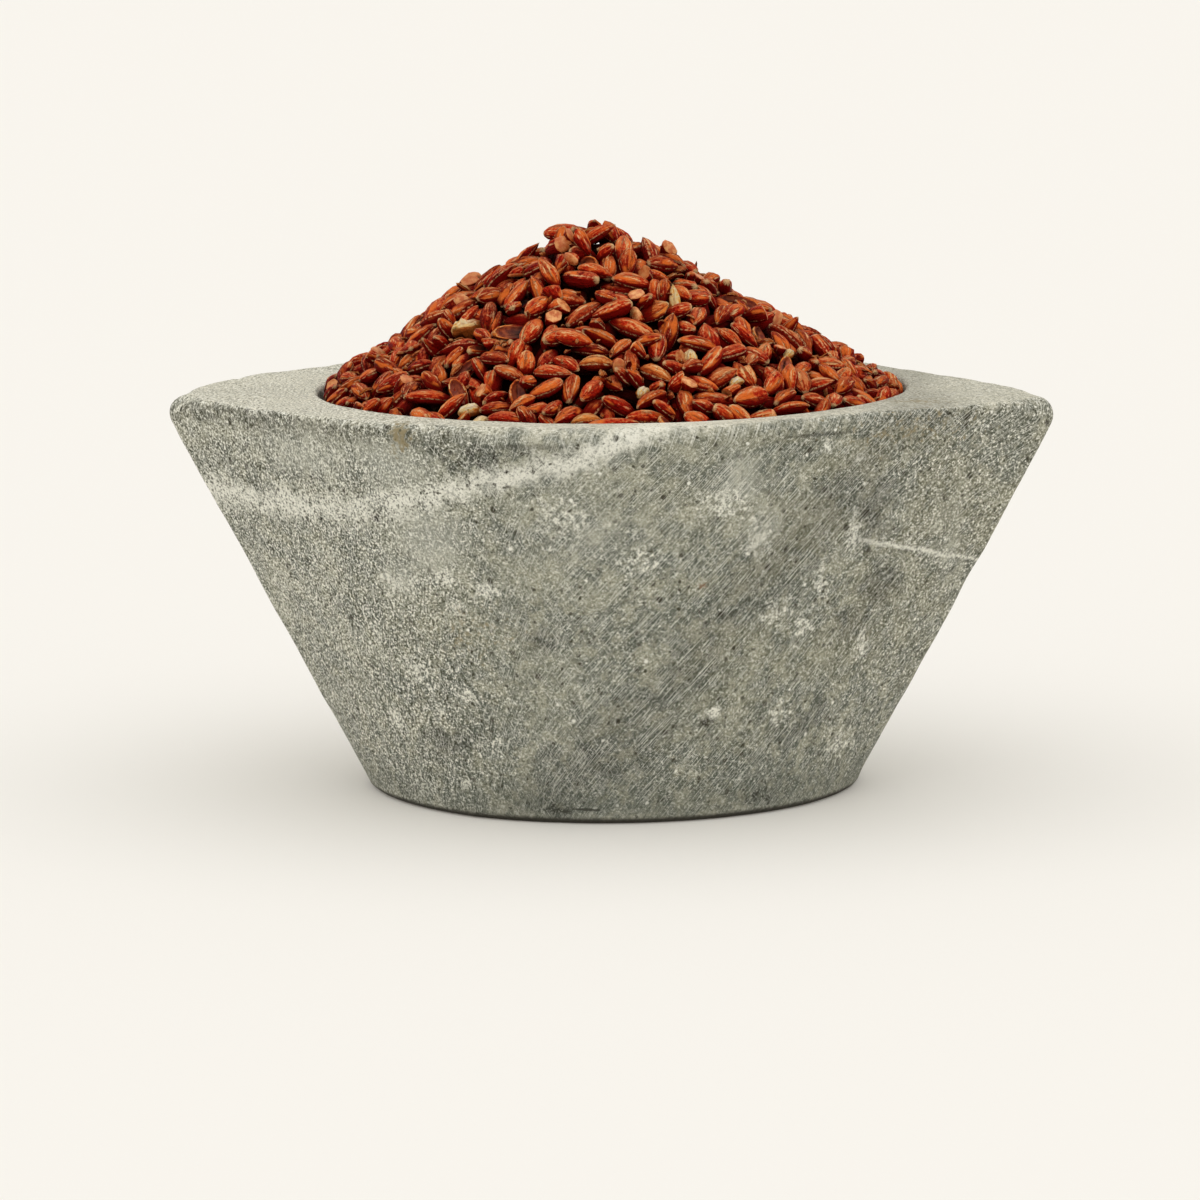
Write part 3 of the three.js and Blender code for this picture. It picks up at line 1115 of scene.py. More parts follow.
@dataclass(frozen=True)
class Bran(Finish):
    """The finish of a rice grain in its bran: streaked along its length, with paler seams and tips, and with
    painted light and shade.
    """

    name: str
    # Looked up by each grain's tone and by painted light, so they run from shaded to lit
    tones: tuple[tuple[float, Colour], ...]
    glow: Colour  # painted light where it would shine through the bran
    # A painted sheen on what faces up, with a dusting
    dust_and_sheen: Colour
    # The pale tips, partly the grain's own, and the painted highlights on the seams and the glints
    tip_and_highlight: Colour
    deep: Colour = (0.20, 0.003, 0.001)  # painted shade on the underside and in the grooves
    grooves: int = 4
    # How strongly the grooves are darkened with painted shade
    groove_shade: float = 0.75
    # How strongly the seams are paled, partly as a painted highlight
    seam_and_highlight_strength: float = 0.7
    roughness: float = 0.45
    black: Colour = BETWEEN_GRAINS

    def inputs(self, bench: Bench, effects: Effects) -> Inputs:
        """Wires the bran.

        Args:
            bench: the material's tree.
            effects: the shared effects.

        Returns:
            What goes into the shader's sockets, by name.
        """
        place = bench.place()
        around, along, _ = bench.split(bench.mapped("grain"))
        tone, second, sunk = bench.split(bench.attribute("tone", "Vector"))
        sky = bench.attribute("sky")

        # Noises that follow each grain's own skin, and one that doesn't
        turn = bench.times(around, 2 * math.pi)
        up = bench.math("SINE", turn)
        on_skin = bench.combined(bench.math("COSINE", turn), up, along)
        own = bench.scaled((1.0, 1.0, 1.0), bench.times(second, 60.0))
        stretched = bench.vector("MULTIPLY_ADD", on_skin, (3.2, 3.2, 3.0), own)
        streaks = bench.noise(stretched, 1.0, detail=3.0, roughness=0.7)
        patches = bench.noise(bench.vector("MULTIPLY_ADD", on_skin, (0.8, 0.8, 1.8), own), 1.0, detail=1.0)
        fine = bench.noise(place, 0.45, detail=3.0, roughness=0.7)
        wobble, uneven = bench.centred(streaks), bench.centred(fine)

        # The tone follows painted light, a painted sheen with a dusting lies on what faces up, and painted
        # shade makes what faces down deep and dark
        lit = bench.times(bench.ranged(sky, -0.5, 0.85), bench.ranged(sunk, 1.2, 0.05))
        mottled = bench.times_plus(uneven, 1.2, bench.times(wobble, 1.9))
        patchy = bench.plus(bench.times_plus(tone, 0.5, -0.08), mottled)
        # A painted glow where light would shine through the bran
        glowing = bench.times(bench.ranged(patches, 0.50, 0.62), bench.ranged(lit, 0.1, 0.6), 0.8)
        on_top = bench.plus(sky, bench.times_plus(uneven, 1.6, wobble))
        # Painted shade where a point faces down or lies deep among the rice
        shaded = bench.plus(lit, bench.times(wobble, 0.6))

        # Grooves, darkened with painted shade, and seams, paler in part through a painted highlight, run
        # along the grain and fade towards its tips
        from_middle = bench.math("ABSOLUTE", bench.times_plus(along, 2.0, -1.0))
        spun = bench.times_plus(turn, float(self.grooves), bench.times(second, 40.0))
        ridges = bench.math("SINE", bench.plus(spun, bench.times(wobble, 2.5)))
        groove = bench.times(
            bench.ranged(ridges, -0.55, -1.0),
            bench.ranged(from_middle, 0.95, 0.5),
            bench.ranged(streaks, 0.38, 0.58),
        )
        # Pale seams, partly the grain's own and partly a painted highlight
        off_seam = bench.math("ABSOLUTE", bench.plus(up, bench.times(wobble, 0.35)))
        seam_and_highlight = bench.times(bench.ranged(off_seam, 0.16, 0.03), bench.ranged(fine, 0.42, 0.6))
        # Pale tips, partly the grain's own and partly a painted highlight
        tip_and_highlight = bench.ranged(bench.plus(from_middle, bench.times(wobble, 0.30)), 0.87, 0.98)
        # Painted glints where the streaks face the light
        glint = bench.times(bench.ranged(streaks, 0.555, 0.66), bench.ranged(lit, 0.35, 0.8), 0.7)

        # The colour carries painted light and shade: tones by the light, a painted glow, a painted sheen,
        # painted shade below, in the grooves and deep among the rice, and painted highlights on the seams,
        # the tips and the streaks
        colour = bench.coated(
            bench.ramped(bench.times_plus(lit, 0.50, patchy), self.tones),
            (glowing, self.glow),
            (bench.ranged(on_top, 0.50, 1.1, 0.0, 0.7), self.dust_and_sheen),
            (bench.ranged(shaded, 0.45, 0.05, 0.0, 0.95), self.deep),
            (bench.times(groove, self.groove_shade), self.deep),
            (bench.times(seam_and_highlight, self.seam_and_highlight_strength), self.tip_and_highlight),
            (bench.times(tip_and_highlight, 0.8), self.tip_and_highlight),
            (bench.times(effects.specks.on(bench, place, 0.8, 0.2, 0.25), 0.6), self.black),
            (glint, self.tip_and_highlight),
            (effects.gloom.on(bench, sunk), self.black),
        )
        relief = bench.math("SUBTRACT", bench.times_plus(streaks, 1.6, fine), bench.times(groove, 0.7))
        return {
            "Base Color": colour,
            "Roughness": bench.ranged(fine, 0.3, 0.7, self.roughness - 0.1, self.roughness + 0.15),
            "Specular IOR Level": 0.03,
            "Normal": bench.bumped(relief, 0.9, 0.5),
        }


@dataclass(frozen=True)
class Kernel(Finish):
    """The finish of the bare inside of a grain, where it has broken or its husk is empty."""

    name: str
    light: Colour
    dark: Colour
    roughness: float = 0.5

    def inputs(self, bench: Bench, effects: Effects) -> Inputs:
        """Wires the kernel.

        Args:
            bench: the material's tree.
            effects: the shared effects.

        Returns:
            What goes into the shader's sockets, by name.
        """
        tone, _, sunk = bench.split(bench.attribute("tone", "Vector"))
        colour = bench.coated(
            self.light,
            (effects.clouds.on(bench, bench.place(), 0.8, 0.15, 0.5), self.dark),
            (bench.ranged(tone, 0.0, 1.0, 0.5, 0.0), self.dark),
            # painted shade deep among the rice
            (effects.gloom.on(bench, sunk), BETWEEN_GRAINS),
        )
        return {"Base Color": colour, "Roughness": self.roughness, "Specular IOR Level": 0.35}


@dataclass(frozen=True)
class ShadedCore(Finish):
    """The finish of the core under the loose grains: painted shade, which shows only as the dark between
    them.
    """

    name: str = "shaded_rice_core"
    tone: Colour = (0.035, 0.008, 0.004)
    darker: Colour = (0.014, 0.0032, 0.0016)

    def inputs(self, bench: Bench, effects: Effects) -> Inputs:
        """Wires the core's patches of two tones."""
        patch = effects.clouds.on(bench, bench.place(), 2.0, 0.15, 0.5)
        colour = bench.coated(self.tone, (patch, self.darker))
        return {"Base Color": colour, "Roughness": 1.0, "Specular IOR Level": 0.0}


@dataclass(frozen=True)
class GrainShape:
    """A grain's size and form, with its length along X, its width along Y and its thickness along Z."""

    length: float = 6.9
    width: float = 2.6
    thickness: float = 2.1
    fullness: float = 2.2  # 2 with a bluntness of 0.5 is an ellipse
    bluntness: float = 0.85  # 1 is a pointed spindle
    ridge: float = 0.05
    bend: float = 0.25
    knobbly: float = 0.025
    skew: float = 0.0  # more makes the far end plumper than the near one
    broken_at: float | None = None  # where it has snapped, as a share of its half length
    is_husk: bool = False  # an empty half of a husk, open above like a boat
    sides: int = 12
    rings: int = 8

    def girth(self, along: np.ndarray) -> np.ndarray:
        """The share of the full width at each place along the grain, from -1 to 1."""
        along = along - self.skew * (1 - along**2)
        bluntness = self.bluntness * (1 + 0.2 * np.sign(along))
        return np.maximum(0.0, 1 - np.abs(along) ** self.fullness) ** bluntness

    def span(self) -> tuple[float, float]:
        """The middle and the half length of what is left of the grain, as shares of its whole half length."""
        far = 1.0 if self.broken_at is None else self.broken_at
        return (far - 1) / 2, (far + 1) / 2

    def model(self, generator: np.random.Generator) -> "Template":
        """Shapes one grain.

        Args:
            generator: where its small differences come from.

        Returns:
            The grain as arrays, ready to be repeated.
        """
        bm = bmesh.new()
        grain_map = bm.loops.layers.uv.new("grain")
        bmesh.ops.create_uvsphere(bm, u_segments=self.sides, v_segments=self.rings, radius=1.0)
        for face in bm.faces:
            middle = face.calc_center_median()
            facing = math.atan2(middle.y, middle.x) / (2 * math.pi)
            for loop in face.loops:
                at = loop.vert.co
                around = math.atan2(at.y, at.x) / (2 * math.pi) if at.xy.length > 0.01 else facing
                loop[grain_map].uv = (around + round(facing - around), (at.z + 1) / 2)
        lean = generator.normal(0, 0.10, 2)
        knobs = generator.normal(0, self.knobbly, (self.sides, self.rings + 1))
        crease = int(generator.integers(self.sides))
        for vert in bm.verts:
            along = vert.co.z
            turn = math.atan2(vert.co.y, vert.co.x)
            side = round(turn / (2 * math.pi) * self.sides) % self.sides
            ring = round(math.acos(max(-1.0, min(1.0, along))) / math.pi * self.rings)
            girth = float(self.girth(np.array(along)))
            girth *= 1 + self.ridge * (1 if side % 2 else -1) + knobs[side, ring]
            girth *= 0.87 if side == crease else 1.0
            vert.co = Vector((
                along * self.length / 2,
                math.cos(turn) * self.width / 2 * girth + lean[0] * along**2,
                math.sin(turn) * self.thickness / 2 * girth + (lean[1] - self.bend) * along**2,
            ))
        cut_faces: set[bmesh.types.BMFace] = set()
        if self.broken_at is not None:
            cut_faces = self.snap(bm, generator)
        elif self.is_husk:
            cut_faces = self.empty(bm)
        bm.verts.index_update()
        bm.normal_update()
        template = Template(
            np.array([vert.co for vert in bm.verts]),
            np.array([vert.normal for vert in bm.verts]),
            [[vert.index for vert in face.verts] for face in bm.faces],
            np.array([loop[grain_map].uv for face in bm.faces for loop in face.loops]),
            np.array([1 if face in cut_faces else 0 for face in bm.faces]),
            self,
        )
        bm.free()
        return template

    def cut(self, bm: bmesh.types.BMesh, place: Vector, normal: Vector) -> list[bmesh.types.BMFace]:
        """Cuts away what lies beyond a plane and closes the cut.

        Args:
            bm: the whole grain.
            place: a point of the plane.
            normal: the way to what is cut away.

        Returns:
            The faces that close the cut.
        """
        parts = bm.verts[:] + bm.edges[:] + bm.faces[:]
        bmesh.ops.bisect_plane(bm, geom=parts, clear_outer=True, plane_co=place, plane_no=normal)
        rim = [edge for edge in bm.edges if edge.is_boundary]
        faces = bmesh.ops.contextual_create(bm, geom=rim)["faces"]
        for face in faces:
            face.normal_update()
            if face.normal.dot(normal) < 0:
                face.normal_flip()
        return faces

    def snap(self, bm: bmesh.types.BMesh, generator: np.random.Generator) -> set[bmesh.types.BMFace]:
        """Snaps the grain off across its length.

        Args:
            bm: the whole grain.
            generator: where the slant of the break comes from.

        Returns:
            The faces of the break.
        """
        slant = generator.normal(0, 0.45, 2)
        place = Vector((self.broken_at * self.length / 2, 0, 0))
        faces = self.cut(bm, place, Vector((1.0, *slant)).normalized())
        depth = generator.uniform(-0.25, 0.3)
        inner = bmesh.ops.inset_region(bm, faces=faces, thickness=0.22, depth=depth)["faces"]
        middle = self.length / 2 * (self.broken_at - 1) / 2
        bmesh.ops.translate(bm, verts=bm.verts, vec=(-middle, 0, 0))
        return set(faces) | set(inner)

    def empty(self, bm: bmesh.types.BMesh) -> set[bmesh.types.BMFace]:
        """Opens the grain into an empty husk with a thin rim.

        Args:
            bm: the whole grain.

        Returns:
            The faces of the inside.
        """
        faces = self.cut(bm, Vector((0, 0, 0.1 * self.thickness)), Vector((0, 0, 1)))
        bmesh.ops.inset_region(bm, faces=faces, thickness=0.2)
        inside: set[bmesh.types.BMFace] = set()
        for thickness, depth in ((0.08, -0.3), (0.35, -0.25)):
            inside |= set(bmesh.ops.inset_region(bm, faces=faces, thickness=thickness, depth=depth)["faces"])
        return inside | set(faces)


@dataclass(frozen=True)
class Template:
    """A small shape as arrays, ready to be repeated many times."""

    points: np.ndarray
    normals: np.ndarray
    faces: list[list[int]]
    uvs: np.ndarray
    finishes: np.ndarray
    shape: GrainShape


@dataclass(frozen=True)
class Placed:
    """One grain where it lies."""

    template: Template
    centre: Point
    heading: float
    tilt: float
    roll: float
    scale: float
    tone: tuple[float, float]

    def matrix(self) -> np.ndarray:
        """How the grain is turned, as a 3 by 3 matrix."""
        turn = Euler((self.roll, -self.tilt, self.heading), "XYZ")
        return np.array(turn.to_matrix())


def joined(placed: Sequence[Placed], name: str, sunk: Callable[[np.ndarray], np.ndarray]) -> bpy.types.Mesh:
    """Joins many grains into one mesh.

    Args:
        placed: the grains.
        name: the mesh's name.
        sunk: gives how deep each of many places lies among the rice.

    Returns:
        The mesh, with each grain's own UV map and two attributes: "tone", which holds the grain's two
        tones and how deep each point lies, and "sky", how far each point faces up. The finishes paint
        light and shade from these.
    """
    points, faces, uvs, finishes, tones, skies = [], [], [], [], [], []
    count = 0
    for grain in placed:
        template, turned = grain.template, grain.matrix().T
        points.append(template.points * grain.scale @ turned + np.array(grain.centre))
        skies.append((template.normals @ turned)[:, 2])
        faces += [[index + count for index in face] for face in template.faces]
        uvs.append(template.uvs)
        finishes.append(template.finishes)
        tones.append(np.tile(grain.tone, (len(template.points), 1)))
        count += len(template.points)
    all_points = np.concatenate(points)
    mesh = bpy.data.meshes.new(name)
    mesh.from_pydata(all_points, [], faces)
    mesh.uv_layers.new(name="grain").uv.foreach_set("vector", np.concatenate(uvs).astype(np.float32).ravel())
    mesh.polygons.foreach_set("material_index", np.concatenate(finishes).astype(np.int32))
    tone = mesh.attributes.new("tone", "FLOAT_VECTOR", "POINT")
    values = np.column_stack((np.concatenate(tones), sunk(all_points)))
    tone.data.foreach_set("vector", values.astype(np.float32).ravel())
    sky = mesh.attributes.new("sky", "FLOAT", "POINT")
    sky.data.foreach_set("value", np.concatenate(skies).astype(np.float32))
    return mesh


class Sort(Enum):
    """The sorts of grain in the heap, each a piece of its own."""

    RED = "red_rice_grains"
    BROWN = "brown_rice_grains"
    BROKEN = "broken_rice_grains"
    HUSK = "empty_rice_husks"
    PALE = "pale_rice_grains"
    CRUMB = "rice_crumbs"


@dataclass(frozen=True)
class Chosen:
    """A grain that shows plainly at one place of the heap, by its angles in degrees."""

    sort: Sort
    x: float
    y: float
    heading: float
    climb: float
    shape: GrainShape
    tone: float
    roll: float = 0.0
    raised: float = 0.0


@dataclass(frozen=True)
class Settled:
    """Where a grain's middle has come to lie, which way it points, and its slopes along and across."""

    x: float
    y: float
    heading: float
    height: float
    slope: float
    lean: float = 0.0


@dataclass
class Pour:
    """Rice poured grain by grain on a height field, each grain coming to rest on what lies below it."""

    form: HeapForm
    generator: np.random.Generator
    core_depth: float = 5.0
    stone_height: float = 0.8  # of the rim around the heap, above the lip
    cell: float = 0.25  # of the height field
    coarse: int = 4  # how many cells apart the places are where a grain may drop
    give: float = 0.78  # the share of its thickness that holds a grain up, so that it sinks in a little
    stand_proud: float = 0.7  # how far a grain's top may rise above the heap's surface
    overhang: float = 1.2  # and how far its end may reach beyond the heap's edge
    fringe: float = 2.2  # how much further the rice is heaped against the stone
    along_stone: float = 0.92  # the share of the radius beyond which grains lie along the stone
    elbow_room: float = 0.8  # above a chosen grain, so that others don't cover it
    chosen_size: float = 0.92  # the share of a chosen grain's size that the others keep clear of
    tries: int = 9
    steepest: float = 1.1
    widest_lean: float = 0.8
    crumb_depths: tuple[float, float] = (0.3, 2.6)  # how far below the heap's surface crumbs may lie
    looks_round: tuple[float, ...] = (0.9, 2.0)  # how far off the rice is that a place can be sunk among
    painted_light_right: float = 0.005  # how much paler the grains get for each millimetre to the right, as painted light from the right
    paler_below: float = 0.006  # and down the front and the back of the heap
    patience: int = 400  # how many grains in a row find no place before the heap is full
    most_grains: int = 2600

    def __post_init__(self) -> None:
        """Lays out the height field, which starts from the core with the stone rim round it."""
        span = self.form.radius + 4
        self.count = int(2 * span / self.cell)
        self.low = -span
        centres = self.low + (np.arange(self.count) + 0.5) * self.cell
        self.x, self.y = np.meshgrid(centres, centres, indexing="ij")
        out = np.hypot(self.x, self.y) / self.form.radius
        self.target = self.form.surface(self.x, self.y) + self.fringe * np.clip(out, 0, 1) ** 10
        self.inside = np.hypot(self.x, self.y) < self.form.radius
        self.ground = np.where(self.inside, self.target - self.core_depth, self.stone_height)
        self.placed: list[tuple[Sort, Placed]] = []

    def index(self, value: np.ndarray) -> np.ndarray:
        """The cell that each coordinate falls in."""
        return np.clip(((value - self.low) / self.cell).astype(int), 0, self.count - 1)

    def rest(
        self, x: np.ndarray, y: np.ndarray, heading: np.ndarray, shape: GrainShape, scale: float
    ) -> tuple[np.ndarray, ...]:
        """Finds how a grain would come to rest at several places.

        Args:
            x: the places' x.
            y: the places' y.
            heading: which way the grain points at each.
            shape: its shape.
            scale: its size.

        Returns:
            For each place, the height of its middle above the lip, its slope along and its slope across,
            and how far out its furthest end reaches.
        """
        middle, half = shape.span()
        along = np.linspace(-0.92, 0.92, 13) * half
        across = np.linspace(-0.8, 0.8, 5)
        girth = shape.girth(middle + along)
        ends = 0.9 * along * shape.length / 2 * scale
        sides = across[None, :] * girth[:, None] * shape.width / 2 * scale
        under = np.sqrt(1 - across**2)[None, :] * girth[:, None] * shape.thickness / 2 * scale * self.give
        cos, sin = np.cos(heading)[:, None, None], np.sin(heading)[:, None, None]
        at_x = x[:, None, None] + ends[None, :, None] * cos - sides[None] * sin
        at_y = y[:, None, None] + ends[None, :, None] * sin + sides[None] * cos
        ground = self.ground[self.index(at_x), self.index(at_y)]
        lean = (ground * sides[None]).sum((1, 2)) / (sides**2).sum()
        lean = np.clip(lean, -self.widest_lean, self.widest_lean)
        needed = (ground - lean[:, None, None] * sides[None] + under[None]).max(2)
        slopes = np.linspace(-self.steepest, self.steepest, 31)
        heights = (needed[:, None, :] - slopes[None, :, None] * ends[None, None, :]).max(2)
        best = heights.argmin(1)
        rows = np.arange(len(x))
        return heights[rows, best], slopes[best], lean, np.hypot(at_x, at_y).max((1, 2))

    def stamp(self, rest: Settled, shape: GrainShape, scale: float) -> None:
        """Adds a grain that has settled to the height field.

        Args:
            rest: how it lies.
            shape: its shape.
            scale: its size.
        """
        reach = shape.length / 2 * scale + 0.5
        i0, i1 = self.index(np.array((rest.x - reach, rest.x + reach)))
        j0, j1 = self.index(np.array((rest.y - reach, rest.y + reach)))
        window = (slice(i0, i1 + 1), slice(j0, j1 + 1))
        dx, dy = self.x[window] - rest.x, self.y[window] - rest.y
        along = dx * math.cos(rest.heading) + dy * math.sin(rest.heading)
        across = -dx * math.sin(rest.heading) + dy * math.cos(rest.heading)
        share = along / (shape.length / 2 * scale * math.cos(math.atan(rest.slope)))
        middle, half = shape.span()
        girth = shape.girth(np.clip(middle + share, -1, 1))
        out = across / np.maximum(girth * shape.width / 2 * scale, 1e-6)
        covered = (np.abs(share) < half) & (np.abs(out) < 1)
        top = rest.height + rest.slope * along + rest.lean * across
        top += np.sqrt(np.maximum(0, 1 - out**2)) * girth * shape.thickness / 2 * scale
        field = self.ground[window]
        field[covered] = np.maximum(field, top)[covered]

    def add(self, sort: Sort, template: Template, scale: float, tone: tuple[float, float]) -> bool:
        """Drops one grain where the heap most needs it.

        Args:
            sort: its sort.
            template: its shape.
            scale: its size.
            tone: its two random tones.

        Returns:
            Whether it found a place.
        """
        sparse = (slice(None, None, self.coarse),) * 2
        missing = (self.target - self.ground)[sparse]
        weight = np.where(self.inside[sparse], np.clip(missing, 0, 4) ** 2, 0).ravel()
        total = weight.cumsum()
        if total[-1] <= 0:
            return False
        chosen = np.searchsorted(total, self.generator.random(self.tries) * total[-1])
        i, j = np.unravel_index(chosen, missing.shape)
        x = self.x[sparse][i, j] + self.generator.uniform(-0.5, 0.5, self.tries)
        y = self.y[sparse][i, j] + self.generator.uniform(-0.5, 0.5, self.tries)
        beside_stone = np.hypot(x, y) > self.along_stone * self.form.radius
        round_it = np.arctan2(y, x) + math.pi / 2 + self.generator.normal(0, 0.35, self.tries)
        heading = np.where(beside_stone, round_it, self.generator.uniform(0, 2 * math.pi, self.tries))
        shape = template.shape
        height, slope, lean, reach = self.rest(x, y, heading, shape, scale)
        above = height + shape.thickness / 2 * scale - self.form.surface(x, y)
        above[reach > self.form.radius + self.overhang] = np.inf
        best = int(above.argmin())
        if above[best] > self.stand_proud:
            return False
        rest = Settled(x[best], y[best], heading[best], height[best], slope[best], lean[best])
        self.stamp(rest, shape, scale)
        paler = self.painted_light_right * rest.x + self.paler_below * (abs(rest.y) - self.form.radius / 2)
        centre = (rest.x, rest.y, rest.height + self.form.lip_height)
        tilt, roll = math.atan(rest.slope), math.atan(rest.lean) + self.generator.normal(0, 0.25)
        tone = (tone[0] + paler, tone[1])
        self.placed.append((sort, Placed(template, centre, rest.heading, tilt, roll, scale, tone)))
        return True

    def lay(self, chosen: Chosen, generator: np.random.Generator) -> None:
        """Lays one chosen grain so that it just reaches the heap's surface.

        Args:
            chosen: the grain.
            generator: where its small differences come from.
        """
        shape, heading = chosen.shape, math.radians(chosen.heading)
        climb, roll = math.radians(chosen.climb), math.radians(chosen.roll)
        height = float(self.form.surface(np.array(chosen.x), np.array(chosen.y))) + chosen.raised
        height -= math.hypot(shape.thickness * math.cos(climb), 0.6 * shape.length * math.sin(climb)) / 2
        room = self.elbow_room * min(1.0, abs(chosen.y) / 10)  # none at the top, where it would show
        rest = Settled(chosen.x, chosen.y, heading, height + room, math.tan(climb))
        self.stamp(rest, shape, self.chosen_size)
        centre = (chosen.x, chosen.y, height + self.form.lip_height)
        template = shape.model(generator)
        tone = (chosen.tone, float(generator.random()))
        self.placed.append((chosen.sort, Placed(template, centre, heading, climb, roll, 1.0, tone)))

    def strew(self, templates: Sequence[Template], count: int) -> None:
        """Strews crumbs, which mostly fall into the gaps.

        Args:
            templates: their shapes.
            count: how many.
        """
        shallowest, deepest = self.crumb_depths
        for _ in range(count):
            turn = self.generator.uniform(0, 2 * math.pi, 4)
            out = self.form.radius * 0.97 * np.sqrt(self.generator.random(4))
            x, y = out * np.cos(turn), out * np.sin(turn)
            ground = self.ground[self.index(x), self.index(y)]
            below = self.form.surface(x, y) - ground
            best = int(np.where(below < deepest, below, -1).argmax())
            if below[best] < shallowest:
                continue
            template = templates[self.generator.integers(len(templates))]
            place = (x[best], y[best], ground[best] + 0.3 * template.shape.thickness + self.form.lip_height)
            tilt, roll = self.generator.normal(0, 0.5), self.generator.normal(0, 0.8)
            scale, tone = self.generator.uniform(0.6, 1.3), tuple(self.generator.random(2))
            crumb = Placed(template, place, float(turn[best]), tilt, roll, scale, tone)
            self.placed.append((Sort.CRUMB, crumb))

    def sunk(self, points: np.ndarray) -> np.ndarray:
        """How far the rice close around stands above each of many places, apart from the heap's own slope.

        Args:
            points: the places, as (count, 3).

        Returns:
            The mean height at each place.
        """
        x, y = points[:, 0], points[:, 1]
        depth = self.form.surface(x, y) - (points[:, 2] - self.form.lip_height)
        proud = self.ground - self.form.surface(self.x, self.y)
        above = []
        for reach in self.looks_round:
            for turn in np.linspace(0, 2 * np.pi, 8, endpoint=False):
                near = self.index(x + reach * np.cos(turn)), self.index(y + reach * np.sin(turn))
                above.append(np.clip(proud[near] + depth, 0, 3))
        return np.mean(above, axis=0)

    def fill(self, draw: Callable[[], tuple[Sort, Template, float, tuple[float, float]]]) -> None:
        """Pours until the heap is full.

        Args:
            draw: gives the next grain to drop.
        """
        failures = 0
        while failures < self.patience and len(self.placed) < self.most_grains:
            failures = 0 if self.add(*draw()) else failures + 1


